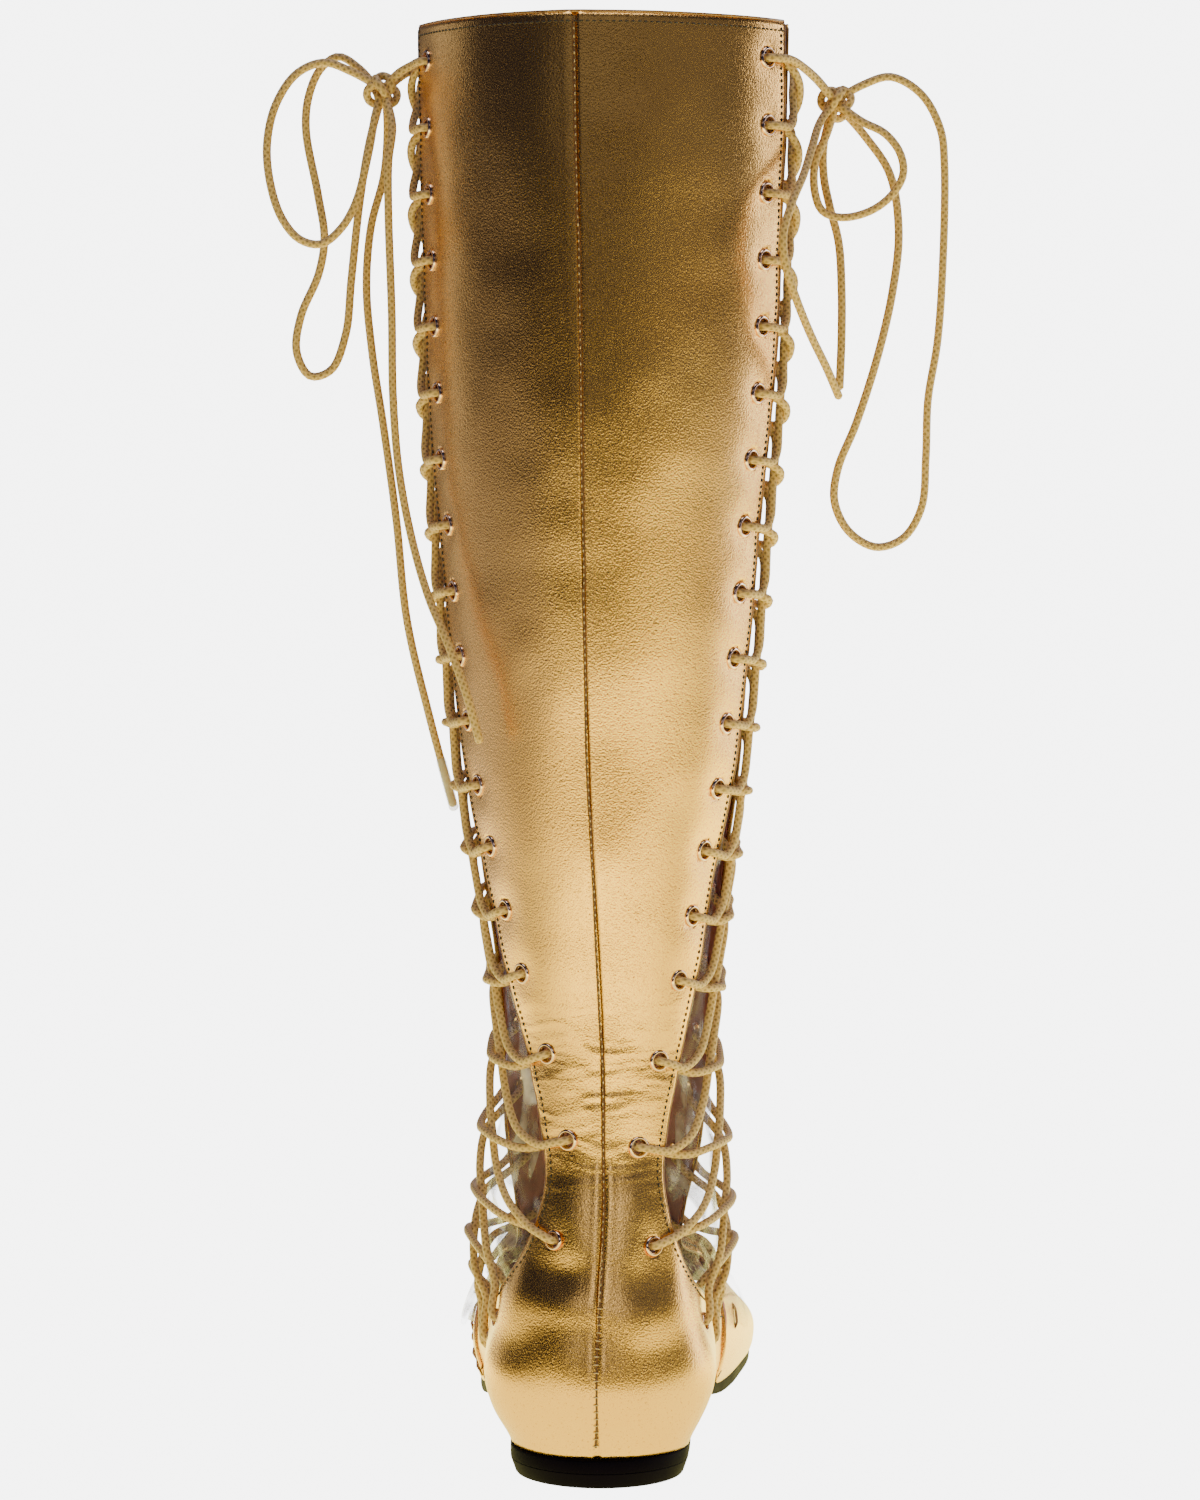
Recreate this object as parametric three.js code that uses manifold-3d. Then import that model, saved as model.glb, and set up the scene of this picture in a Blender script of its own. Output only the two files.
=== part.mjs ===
// Knee-high gladiator sandal for the left foot, in millimetres, +Z up, toes towards -Y, outer side towards +X.
// A back panel with quarters and a shin panel with vamp make one hollow upper. Clear vinyl gussets close the
// gap between them down both sides, and a round cord laces each side and ends in a bow near the collar.
import * as THREE from "three";
import { mergeVertices } from "three/addons/utils/BufferGeometryUtils.js";
import Module from "manifold-3d";

const wasm = await Module();
wasm.setup();

// Driving sizes.
const SOLE_LENGTH = 262;
const TOP = 478; // height of the collar
const MIDDLE = { side: 0.4, along: 128.7 }; // of the whole sandal, from the heel's back
const HEEL_HEIGHT = 5.2; // the block under the sole
const SOLE_THICKNESS = 4.6;
const INSOLE_THICKNESS = 2.5;
const INSOLE_INSET = 2.9; // from the sole's outline, inside the upper's wall
const GAP = 0.3; // between pieces that touch
const WALL = 1.6; // leather with its lining
const VAMP_PROUD = 0.8; // the vamp laps over the quarters
const VINYL = 0.8;
const CORD = 2.8; // diameter
const BULGE = { heel: 6.8, ball: 3.4 }; // how far the wall swells past the sole's edge
const BULGE_RISE = 9.5; // height over which it swells
const BULGE_POWER = 1.6;
const FOOT_SQUARENESS = 0.86; // 1 is an elliptical foot section, less is squarer
const HEEL_BREAST = 60; // where the heel block ends
const HEEL_ROUND = 27; // length over which the heel end of the outline is round
const TOE_ROUND = 50;
const TOE_SQUARENESS = 2.15;
const TUCK = 3; // gusset under each leather edge
const FACET_SLACK = 0.06; // how far joining may move a facet

// The sole's outline: half its width, and how far its middle lies to the outer side, along from the heel's back.
const OUTLINE = [
  { along: 0, half: 28.5, middle: 1 },
  { along: 40, half: 30.2, middle: 1.3 },
  { along: 90, half: 31.8, middle: 3.5 },
  { along: 130, half: 40.4, middle: 4.8 },
  { along: 165, half: 46.5, middle: 2.8 },
  { along: 190, half: 47.6, middle: 0.2 },
  { along: 215, half: 45, middle: -3.5 },
  { along: 262, half: 36, middle: -8 },
];
// The sole's underside: level over the heel block, down the arch, level under the ball, toe spring.
const UNDERSIDE = [
  { along: 0, height: HEEL_HEIGHT },
  { along: 62, height: HEEL_HEIGHT },
  { along: 105, height: 6 },
  { along: 148, height: 0 },
  { along: 205, height: 0 },
  { along: 235, height: 2.2 },
  { along: 262, height: 8 },
];
// Height of the foot's top line, over the toes, instep and into the leg.
const RIDGE = [
  { along: 0, height: 520 },
  { along: 60, height: 320 },
  { along: 90, height: 210 },
  { along: 110, height: 128 },
  { along: 118, height: 93 },
  { along: 130, height: 77 },
  { along: 150, height: 62 },
  { along: 171, height: 50 },
  { along: 190, height: 40.5 },
  { along: 207, height: 32 },
  { along: 225, height: 25 },
  { along: 262, height: 18 },
];
// The leg's level sections: half the width, how far its middle lies to the outer side, and where the back and
// the front lie along from the heel's back.
const LEG = [
  { height: 14, half: 33, middle: 1, back: 0.5, front: 128 },
  { height: 32, half: 34.5, middle: 1, back: -2.5, front: 124 },
  { height: 55, half: 35, middle: 0, back: -0.5, front: 118 },
  { height: 85, half: 34.5, middle: -1, back: 8, front: 108 },
  { height: 110, half: 34.5, middle: -0.6, back: 13.5, front: 101 },
  { height: 140, half: 35, middle: -0.3, back: 14, front: 99.5 },
  { height: 177, half: 38.8, middle: 0.3, back: 11, front: 99 },
  { height: 226, half: 47.2, middle: 0.9, back: 6, front: 102 },
  { height: 271, half: 52.7, middle: 1.1, back: 2, front: 106 },
  { height: 310, half: 56.3, middle: 1, back: -1, front: 109 },
  { height: 360, half: 60.7, middle: 0.3, back: -3, front: 113 },
  { height: 420, half: 63.7, middle: 0, back: -3, front: 117 },
  { height: 478, half: 64.6, middle: -0.8, back: -1, front: 119 },
];
const SHAFT_RIDGE = 1.22; // 1 is an elliptical shaft, more draws it to soft ridges at the seam and the sides
const SHIN_NARROWING = 0.1; // share by which the shin side of the shaft is narrower than the calf side
// The shaft turns outwards as it rises, so that the back seam leans to the outer side.
const TWIST = [
  { height: 0, turn: 0 },
  { height: 130, turn: 0 },
  { height: 226, turn: 3.4 },
  { height: 305, turn: 4.6 },
  { height: 400, turn: 6 },
  { height: 478, turn: 8 },
];
// Where the back panel's edge lies, in degrees round from the back seam, with the quarters at the foot of it.
const BACK_EDGE = [
  { height: 14, reach: 101 },
  { height: 28, reach: 97.5 },
  { height: 36, reach: 83 },
  { height: 44, reach: 71 },
  { height: 54, reach: 56 },
  { height: 66, reach: 40 },
  { height: 80, reach: 34.5 },
  { height: 97, reach: 33.2 },
  { height: 118, reach: 37.8 },
  { height: 140, reach: 47.5 },
  { height: 166, reach: 57.5 },
  { height: 187, reach: 64 },
  { height: 226, reach: 70.5 },
  { height: 300, reach: 73.5 },
  { height: 478, reach: 73.5 },
];
// The vamp's sections from the toe opening back: where each crosses the top line, how far its ends sweep
// forward, and how many degrees round they reach, 90 being the sole.
const VAMP = [
  { along: 207, sweep: 17, reach: 90 },
  { along: 199, sweep: 11, reach: 90 },
  { along: 189, sweep: 3, reach: 90 },
  { along: 179, sweep: -8, reach: 90 },
  { along: 170, sweep: -21, reach: 90 },
  { along: 164, sweep: -32, reach: 90 },
  { along: 160, sweep: -18, reach: 83 },
  { along: 157, sweep: -5, reach: 73 },
  { along: 152, sweep: 3, reach: 62 },
  { along: 146, sweep: 4, reach: 53 },
  { along: 138, sweep: 2, reach: 48 },
];
// The instep's sections lean over from upright across the foot to level round the leg.
const INSTEP = [
  { along: 128, height: 78.5, tilt: 18, half: 40, drop: 70, reach: 46 },
  { along: 118, height: 91, tilt: 42, half: 39, drop: 60, reach: 49 },
  { along: 109, height: 110, tilt: 63, half: 37.5, drop: 52, reach: 60 },
  { along: 102.5, height: 133, tilt: 80, half: 36, drop: 45.5, reach: 74 },
];
const SHIN = [
  { height: 160, reach: 81 },
  { height: 195, reach: 85 },
  { height: 226, reach: 87 },
  { height: 271, reach: 87.5 },
  { height: 310, reach: 87.5 },
  { height: 360, reach: 87.5 },
  { height: 420, reach: 87.5 },
  { height: 478, reach: 87.5 },
];
// How far each gusset swells outwards, at a share of the way down it.
const SWELL = [
  { share: 0, swell: 0 },
  { share: 0.64, swell: 0 },
  { share: 0.74, swell: 5 },
  { share: 0.82, swell: 7.5 },
  { share: 0.9, swell: 4 },
  { share: 0.97, swell: 0 },
  { share: 1, swell: 0 },
];
// Eyelet rows down each edge.
const EYELET_RUNS = [
  { eyelets: 15, pitch: 21.8 },
  { eyelets: 3, pitch: 28 },
  { eyelets: 3, pitch: 33 },
];
const FIRST_EYELET = 12.5; // below the collar
const LACE_HOVER = { shaft: 1.8, foot: 2.4 }; // air between the cord and the leather it crosses
const LACING_SIDES = 5;
const LACING_CURVES_FROM = 0.62; // share of the way down, where the gusset starts to swell

// Bows. Each point is out from the knot, up from it, and back towards the heel.
const BOWS = {
  lateral: {
    side: 1,
    knot: { out: 74.4, along: 57, height: 457 },
    strands: {
      round_loop: [
        [0, 0, 0], [2, -8, 4], [4, -20, 6], [8.4, -37, 6.5], [13.5, -45.6, 6.5], [20, -50.5, 6.5], [27, -49, 6.5],
        [33, -42, 6], [37, -30, 5], [38, -17, 4], [35, -4, 3], [28, 6, 2.5], [19, 9.5, 2], [10, 6.5, 1.5], [0, 1, 1],
      ],
      long_loop: [
        [1, 0, -2], [8, 8, -4], [15, 12, -4.5], [21, 8, -5], [25, -1, -5], [26, -12, -5], [22, -34, -5],
        [20, -48, -5], [22, -60, -5], [28, -74, -5], [29.5, -86, -5], [25, -94, -5], [18, -92, -5], [13, -80, -5],
        [11, -62, -4.5], [8, -36, -4], [4.5, -16, -3], [0, 0, -2],
      ],
      long_end: [
        [-1, -1, -3], [-1, -13, -7.6], [0.4, -27, -10], [4.8, -44, -10], [6.4, -64, -10], [4.6, -86, -10],
        [1, -110, -10], [-3.4, -142, -9], [-7, -176, -8], [-14.5, -208, -6.5], [-22.5, -238, -6],
      ],
      short_end: [
        [-1, -1, 2], [-4, -12, 8], [-3, -24, 12], [-3, -40, 13], [-4, -74, 13], [-4.4, -101, 14], [-6.4, -125, 16],
        [-11, -148, 20], [-17, -167, 26.5], [-24, -182, 34.5], [-30.2, -198, 39.8], [-34.5, -213, 41.5],
      ],
    },
  },
  medial: {
    side: -1,
    knot: { out: 76.2, along: 58, height: 453 },
    strands: {
      round_loop: [
        [1, -1, 2], [8.5, -6.5, 4.5], [16, -10.5, 6], [21, -17, 6.5], [22, -24, 6.5], [18, -31, 6.5],
        [11, -36, 6.5], [2, -38, 6.5], [-4.4, -36, 6.5], [-7, -30, 6.5], [-7, -20, 6], [-3, -10, 3], [0, 0, 1],
      ],
      long_loop: [
        [0, 1, 0], [9, 6, 0], [18, 8.5, 0], [28, 3, -1], [34.5, -8.4, -2], [36, -20, -3], [35.5, -57, -3],
        [34, -79, -3], [31, -98, -3], [30.4, -117, -3], [29, -134, -3], [23, -144, -3], [14, -147, -2],
        [5, -142, -1], [0, -132, 0], [1, -121, 0], [7, -106, 0], [14, -84, -1], [19, -62, -2], [21, -42, -4],
        [18, -23, -6], [10, -11, -5], [1, -1, -2],
      ],
      long_end: [
        [-1, -1, -1], [-4, -13, -2], [-4, -24, -2], [-2, -34, -1], [1, -46, 0], [2, -62, 2], [2, -78, 3],
        [1.4, -94, 4],
      ],
      short_end: [
        [-1, 0, 2], [-5.5, -7, 8], [-8, -15, 16], [-11, -25, 25], [-15, -35, 32.5], [-17.6, -45, 36.5],
        [-17, -54, 36.5], [-13.5, -65, 33], [-8.5, -77, 26], [-3, -88, 19], [1, -97, 13],
      ],
    },
  },
};
const KNOT = { out: 6.2, up: 6.2, back: 6.2 }; // half sizes
const STRAND_STEP = 19; // length of one facet along a strand

const radians = THREE.MathUtils.degToRad;
const between = THREE.MathUtils.smoothstep;

// A smooth function through one column of a table, with no overshoot between rows.
function column(rows, from, name) {
  const x = rows.map((row) => row[from]);
  const y = rows.map((row) => row[name]);
  const slope = x.slice(1).map((_, i) => (y[i + 1] - y[i]) / (x[i + 1] - x[i]));
  const tangent = x.map((_, i) => {
    if (i === 0) return slope[0];
    if (i === x.length - 1) return slope[i - 1];
    const [before, after] = [slope[i - 1], slope[i]];
    return before * after <= 0 ? 0 : (2 * before * after) / (before + after);
  });
  return (at) => {
    if (at <= x[0]) return y[0];
    if (at >= x.at(-1)) return y.at(-1);
    const i = x.findLastIndex((value) => value <= at);
    const span = x[i + 1] - x[i];
    const t = (at - x[i]) / span;
    const [t2, t3] = [t * t, t * t * t];
    return (
      (2 * t3 - 3 * t2 + 1) * y[i] +
      (t3 - 2 * t2 + t) * span * tangent[i] +
      (3 * t2 - 2 * t3) * y[i + 1] +
      (t3 - t2) * span * tangent[i + 1]
    );
  };
}

const outlineHalf = column(OUTLINE, "along", "half");
const outlineMiddle = column(OUTLINE, "along", "middle");
const underside = column(UNDERSIDE, "along", "height");
const ridge = column(RIDGE, "along", "height");
const legHalf = column(LEG, "height", "half");
const legMiddle = column(LEG, "height", "middle");
const legBack = column(LEG, "height", "back");
const legFront = column(LEG, "height", "front");
const twist = column(TWIST, "height", "turn");
const backReach = column(BACK_EDGE, "height", "reach");

// Places are given as sideways, along from the heel's back, and height. The origin is on the ground under the
// middle of the sandal, and the heel is at +Y.
const place = (side, along, height) => new THREE.Vector3(side + MIDDLE.side, MIDDLE.along - along, height);

function roundEnds(along) {
  if (along < HEEL_ROUND) return Math.sqrt(Math.max(0, 1 - ((HEEL_ROUND - along) / HEEL_ROUND) ** 2));
  const past = (along - (SOLE_LENGTH - TOE_ROUND)) / TOE_ROUND;
  return past > 0 ? Math.max(0, 1 - past ** TOE_SQUARENESS) ** (1 / TOE_SQUARENESS) : 1;
}
const soleTop = (along) => underside(along) + SOLE_THICKNESS;
const feather = (along) => soleTop(along) + GAP; // where the upper meets the sole
const bulge = (along, rise) =>
  THREE.MathUtils.lerp(BULGE.heel, BULGE.ball, between(along, 90, 150)) * (1 - Math.exp(-((rise / BULGE_RISE) ** BULGE_POWER)));

// Half the foot's width at a place along it and a height.
function footHalf(along, height) {
  const rise = Math.max(0, height - feather(along));
  const share = Math.min(1, rise / (ridge(along) - feather(along)));
  const power = 2 / FOOT_SQUARENESS;
  return (outlineHalf(along) + bulge(along, rise)) * roundEnds(along) * (1 - share ** power) ** (1 / power);
}

// A point on the leg, at an angle round from the back seam, positive to the outer side.
function legPoint(height, angle) {
  const ridged = THREE.MathUtils.lerp(1, SHAFT_RIDGE, between(height, 150, 260));
  const drawn = (value) => Math.sign(value) * Math.abs(value) ** ridged;
  const shinSide = between(Math.abs(Math.atan2(Math.sin(angle), Math.cos(angle))), radians(74), radians(100));
  const narrowing = 1 - SHIN_NARROWING * shinSide * between(height, 150, 260);
  const [aside, back] = [drawn(Math.sin(angle)) * narrowing, drawn(Math.cos(angle))];
  const turn = radians(twist(height));
  const middle = (legBack(height) + legFront(height)) / 2;
  const depth = (legFront(height) - legBack(height)) / 2;
  return place(
    legMiddle(height) + legHalf(height) * (aside * Math.cos(turn) + back * Math.sin(turn)),
    middle - depth * (back * Math.cos(turn) - aside * Math.sin(turn)),
    height,
  );
}

// A point on the back panel and quarters: the foot's wall low down, the leg higher up.
function backPoint(side, reach, level) {
  const along = (SOLE_LENGTH / 2) * (1 - Math.cos(reach));
  const seat = feather(0);
  const height = level - (seat - feather(along)) * Math.max(0, 1 - (level - seat) / 14);
  const atBack = legBack(level) * Math.max(0, 1 - reach / 0.9) ** 2;
  const foot = place(outlineMiddle(along) + side * footHalf(along, height), along + atBack, height);
  return foot.lerp(legPoint(level, side * reach), between(level, 35, 105));
}

// A point on the foot, an angle round from its top line.
function footPoint(along, side, angle) {
  const height = feather(along) + (ridge(along) - feather(along)) * Math.cos(angle) ** FOOT_SQUARENESS;
  const rise = height - feather(along);
  const half = (outlineHalf(along) + bulge(along, rise)) * roundEnds(along);
  return place(outlineMiddle(along) + side * half * Math.sin(angle) ** FOOT_SQUARENESS, along, height);
}

// The shin panel and vamp are skinned over their sections; each is a function of a share from -1 to 1 across.
const frontSections = [
  ...VAMP.map((row) => (across) => {
    const angle = Math.abs(across) * radians(row.reach);
    const share = Math.sin(angle) / Math.sin(radians(row.reach));
    return footPoint(row.along + row.sweep * share ** 2, Math.sign(across), angle);
  }),
  ...INSTEP.map((row) => (across) => {
    const angle = across * radians(row.reach);
    const tilt = radians(row.tilt);
    const drop = row.drop * (1 - Math.cos(angle));
    const side = outlineMiddle(row.along) * Math.cos(tilt) + row.half * Math.sin(angle);
    return place(side, row.along - drop * Math.sin(tilt), row.height - drop * Math.cos(tilt));
  }),
  ...SHIN.map((row) => (across) => legPoint(row.height, Math.PI - across * radians(row.reach))),
];
function frontPoint(across, share) {
  const points = frontSections.map((section) => section(across));
  return new THREE.CatmullRomCurve3(points).getPoint(share);
}

function backSurface(across, share) {
  const level = feather(0) + (TOP - feather(0)) * share ** 1.25;
  return backPoint(Math.sign(across) || 1, Math.abs(across) * radians(backReach(level)), level);
}

// A mesh's position-only geometry from rows of points and faces.
function meshOf(points, faces) {
  const geometry = new THREE.BufferGeometry().setFromPoints(points);
  geometry.setIndex(faces);
  return geometry;
}

function solidOf(geometry) {
  const bare = geometry.clone();
  bare.deleteAttribute("normal");
  bare.deleteAttribute("uv");
  const merged = mergeVertices(bare, 1e-4);
  const solid = (triVerts) =>
    new wasm.Manifold(
      new wasm.Mesh({ numProp: 3, vertProperties: merged.attributes.position.array, triVerts }),
    );
  const faces = new Uint32Array(merged.index.array);
  const made = solid(faces);
  if (made.volume() > 0) return made;
  for (let i = 0; i < faces.length; i += 3) [faces[i + 1], faces[i + 2]] = [faces[i + 2], faces[i + 1]];
  return solid(faces);
}

function geometryOf(solid) {
  const { numProp, numVert, vertProperties, triVerts } = solid.getMesh();
  const position = new Float32Array(numVert * 3);
  for (let i = 0; i < numVert; i++) position.set(vertProperties.subarray(i * numProp, i * numProp + 3), i * 3);
  const geometry = new THREE.BufferGeometry();
  geometry.setAttribute("position", new THREE.BufferAttribute(position, 3));
  geometry.setIndex(new THREE.BufferAttribute(triVerts, 1));
  geometry.computeVertexNormals();
  return geometry;
}

// Outward normals of a grid of points, by differences between neighbours.
function gridNormals(grid) {
  const at = (row, i) => row[Math.min(Math.max(i, 0), row.length - 1)];
  return grid.map((row, j) =>
    row.map((_, i) => {
      const across = at(row, i + 1).clone().sub(at(row, i - 1));
      const up = at(grid, j + 1)[i].clone().sub(at(grid, j - 1)[i]);
      return across.cross(up).normalize();
    }),
  );
}

// A closed sheet over a grid, from one depth under its surface to another.
function sheetSolid(grid, normals, outer, inner) {
  const [rows, columns] = [grid.length, grid[0].length];
  const layer = (depth) =>
    grid.flatMap((row, j) => row.map((p, i) => p.clone().addScaledVector(normals[j][i], -depth)));
  const points = [...layer(outer), ...layer(inner)];
  const at = (side, j, i) => side * rows * columns + j * columns + i;
  const faces = [];
  const quad = (a, b, c, d) => faces.push(a, b, c, a, c, d);
  for (let j = 0; j < rows - 1; j++)
    for (let i = 0; i < columns - 1; i++) {
      quad(at(0, j, i), at(0, j, i + 1), at(0, j + 1, i + 1), at(0, j + 1, i));
      quad(at(1, j, i), at(1, j + 1, i), at(1, j + 1, i + 1), at(1, j, i + 1));
    }
  for (let i = 0; i < columns - 1; i++) {
    quad(at(0, 0, i + 1), at(0, 0, i), at(1, 0, i), at(1, 0, i + 1));
    quad(at(0, rows - 1, i), at(0, rows - 1, i + 1), at(1, rows - 1, i + 1), at(1, rows - 1, i));
  }
  for (let j = 0; j < rows - 1; j++) {
    quad(at(0, j, 0), at(0, j + 1, 0), at(1, j + 1, 0), at(1, j, 0));
    quad(at(0, j + 1, columns - 1), at(0, j, columns - 1), at(1, j, columns - 1), at(1, j + 1, columns - 1));
  }
  return solidOf(meshOf(points, faces));
}

function gridOf(surface, columns, rows) {
  return Array.from({ length: rows + 1 }, (_, j) =>
    Array.from({ length: columns + 1 }, (_, i) => surface((2 * i) / columns - 1, j / rows)),
  );
}

// A closed solid through rings of points, with flat ends.
function ringSolid(rings) {
  const around = rings[0].length;
  const points = rings.flat();
  const faces = [];
  for (let j = 0; j < rings.length - 1; j++)
    for (let i = 0; i < around; i++) {
      const [a, b] = [j * around + i, j * around + ((i + 1) % around)];
      faces.push(a, b, b + around, a, b + around, a + around);
    }
  const end = (rings.length - 1) * around;
  for (let i = 1; i < around - 1; i++) faces.push(0, i + 1, i, end, end + i, end + i + 1);
  return solidOf(meshOf(points, faces));
}

// A slab with the sole's outline: an inset, and its lower and upper face as functions of the place along.
function slab(inset, lower, upper, stations) {
  const rings = [];
  for (let j = 0; j <= stations; j++) {
    const share = 0.015 + 0.97 * (j / stations);
    const along = (SOLE_LENGTH / 2) * (1 - Math.cos(Math.PI * share));
    const half = Math.max(1.5, outlineHalf(along) * roundEnds(along));
    const scale = (half - Math.min(inset, half - 1)) / half;
    const sunk = inset + (SOLE_LENGTH - 2 * inset) * (along / SOLE_LENGTH);
    const at = (side, height) => place(outlineMiddle(along) + side * half * scale, sunk, height);
    const [low, high] = [lower(along), upper(along)];
    const edge = (high - low) * 0.2;
    const bevel = 1 - 0.8 / half;
    rings.push([
      at(bevel, high), at(1, high - edge), at(1, low + edge), at(bevel, low),
      at(-bevel, low), at(-1, low + edge), at(-1, high - edge), at(-bevel, high),
    ]);
  }
  return ringSolid(rings);
}

function heelBlock() {
  const levels = [
    { height: 0, inset: 2.6, breast: 3 },
    { height: 0.8, inset: 1.9, breast: 2.4 },
    { height: HEEL_HEIGHT - GAP, inset: 0.3, breast: 0 },
  ];
  const sideSteps = 12;
  return ringSolid(
    levels.map(({ height, inset, breast }) => {
      const ring = [];
      const length = HEEL_BREAST - breast;
      for (let i = -sideSteps; i <= sideSteps; i++) {
        const share = Math.abs(i) / sideSteps;
        const along = length * (1 - Math.cos((Math.PI / 2) * share));
        const half = outlineHalf(along) * roundEnds(along) * (1 - inset / 29);
        ring.push(place(outlineMiddle(along) + Math.sign(i) * half, inset + along * (1 - inset / length), height));
      }
      return ring;
    }),
  );
}

// A leather edge as a rail: at a share of the way down it, its point, its outward normal and the way off the edge.
function railOf(surface, side, from, to, samples = 160) {
  const nudge = 0.02;
  const stops = Array.from({ length: samples + 1 }, (_, i) => {
    const share = from + ((to - from) * i) / samples;
    const point = surface(side, share);
    const across = surface(side * (1 - nudge), share);
    const off = point.clone().sub(across).normalize();
    const along = surface(side, Math.min(1, share + 0.004)).sub(surface(side, Math.max(0, share - 0.004)));
    const normal = off.clone().cross(along).normalize();
    if (normal.dot(point.clone().setZ(0).sub(place(0, 60, 0))) < 0) normal.negate();
    return { point, off, normal };
  });
  const lengths = [0];
  for (let i = 1; i <= samples; i++) lengths.push(lengths[i - 1] + stops[i].point.distanceTo(stops[i - 1].point));
  const length = lengths.at(-1);
  const at = (distance) => {
    const wanted = Math.min(Math.max(distance, 0), length);
    const i = Math.min(samples - 1, Math.max(0, lengths.findLastIndex((value) => value <= wanted)));
    const t = (wanted - lengths[i]) / (lengths[i + 1] - lengths[i]);
    const mix = (name) => stops[i][name].clone().lerp(stops[i + 1][name], t);
    return { point: mix("point"), off: mix("off").normalize(), normal: mix("normal").normalize() };
  };
  return { length, at };
}

const swellAt = column(SWELL, "share", "swell");

// How far down its rail each eyelet lies.
function eyeletShares(back) {
  const distances = [FIRST_EYELET - EYELET_RUNS[0].pitch];
  for (const { eyelets, pitch } of EYELET_RUNS)
    for (let n = 0; n < eyelets; n++) distances.push(distances.at(-1) + pitch);
  return distances.slice(1).map((distance) => distance / back.length);
}

// The rails on one side of the leg. The front one stops where the vamp meets the quarter.
function railsOf(side) {
  const shareOfLevel = (level) => ((level - feather(0)) / (TOP - feather(0))) ** (1 / 1.25);
  const vampEnd = 6.6 / (frontSections.length - 1);
  return {
    back: railOf(backSurface, side, 1, shareOfLevel(29)),
    front: railOf(frontPoint, side, 1, vampEnd),
  };
}

// A point of the span between the two rails, from 0 at the back edge to 1 at the front edge, and its normal.
function spanPoint(rails, share, across) {
  const back = rails.back.at(share * rails.back.length);
  const front = rails.front.at(share * rails.front.length);
  const pull = back.point.distanceTo(front.point) * 0.9;
  const [t, t2, t3] = [across, across ** 2, across ** 3];
  const point = new THREE.Vector3()
    .addScaledVector(back.point, 2 * t3 - 3 * t2 + 1)
    .addScaledVector(back.off, (t3 - 2 * t2 + t) * pull)
    .addScaledVector(front.point, 3 * t2 - 2 * t3)
    .addScaledVector(front.off, -(t3 - t2) * pull);
  const normal = back.normal.clone().lerp(front.normal, across).normalize();
  point.addScaledVector(normal, swellAt(share) * 4 * across * (1 - across));
  return { point, normal };
}

// The line that the middle of a lacing cord keeps, over the span.
function overSpan(rails, share, across) {
  const { point, normal } = spanPoint(rails, share, across);
  const hover = THREE.MathUtils.lerp(LACE_HOVER.shaft, LACE_HOVER.foot, between(share, 0.66, 0.78));
  return { point: point.addScaledVector(normal, CORD / 2 + hover), normal };
}

function gusset(rails) {
  const rows = 27;
  const across = [0, 0.3, 0.7, 1];
  const grid = [];
  const normals = [];
  for (let j = 0; j <= rows; j++) {
    const share = 0.004 + 0.99 * (j / rows);
    const ends = [rails.back, rails.front].map((rail) => rail.at(share * rail.length));
    const under = ends.map(({ point, off }) => point.clone().addScaledVector(off, -TUCK));
    const middle = across.map((t) => spanPoint(rails, share, t));
    grid.push([under[0], ...middle.map((m) => m.point), under[1]]);
    normals.push([ends[0].normal, ...middle.map((m) => m.normal), ends[1].normal]);
  }
  const depth = WALL + 2 * GAP + 0.7;
  return sheetSolid(grid, normals, depth, depth + VINYL);
}

const cordSection = (sides) =>
  new THREE.Shape(
    Array.from({ length: sides }, (_, i) => {
      const angle = (2 * Math.PI * i) / sides;
      return new THREE.Vector2(Math.cos(angle), Math.sin(angle)).multiplyScalar(CORD / 2);
    }),
  );
function tube(points, steps, sides = 8) {
  const path = new THREE.CatmullRomCurve3(points);
  return solidOf(
    new THREE.ExtrudeGeometry(cordSection(sides), { steps, extrudePath: path, bevelEnabled: false }),
  );
}

// Where one strand of the lacing runs: it crosses the gap at every eyelet, from the back edge first or from the
// front edge, and the one that ends at the back crosses once more as the bar at the bottom.
function strandStops(shares, first) {
  const stops = [];
  for (let n = 0; n < shares.length; n++) {
    const edge = (n + first) % 2;
    const next = shares[n + 1] ?? shares[n];
    const parts = shares[n] > LACING_CURVES_FROM ? 4 : 2;
    if (n === shares.length - 1 && first) return stops;
    for (let i = 0; i < parts; i++) {
      const t = i / parts;
      stops.push({ share: THREE.MathUtils.lerp(shares[n], next, t), across: Math.abs(edge - t) });
    }
    if (n === shares.length - 1) stops.push({ share: next, across: 1 - edge });
  }
  return stops;
}

function strand(rails, shares, first) {
  const line = strandStops(shares, first).map(({ share, across }) => overSpan(rails, share, across));
  return ringSolid(
    line.map(({ point, normal }, i) => {
      const before = point.clone().sub((line[i - 1] ?? line[i]).point).normalize();
      const after = (line[i + 1] ?? line[i]).point.clone().sub(point).normalize();
      const ahead = before.clone().add(after).normalize();
      const mitre = Math.min(2, 1 / Math.max(0.1, ahead.dot(i ? before : after)));
      const aside = ahead.clone().cross(normal).normalize().multiplyScalar(mitre);
      const out = aside.clone().cross(ahead).normalize();
      return Array.from({ length: LACING_SIDES }, (_, k) => {
        const angle = (2 * Math.PI * k) / LACING_SIDES;
        const [x, y] = [Math.cos(angle) * (CORD / 2), Math.sin(angle) * (CORD / 2)];
        return point.clone().addScaledVector(aside, x).addScaledVector(out, y);
      });
    }),
  );
}

// The crossed lacing of one side: two strands, joined where they cross and by a bar at the bottom.
function lacing(rails) {
  const shares = eyeletShares(rails.back);
  return strand(rails, shares, 0).add(strand(rails, shares, 1)).simplify(FACET_SLACK);
}

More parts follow.
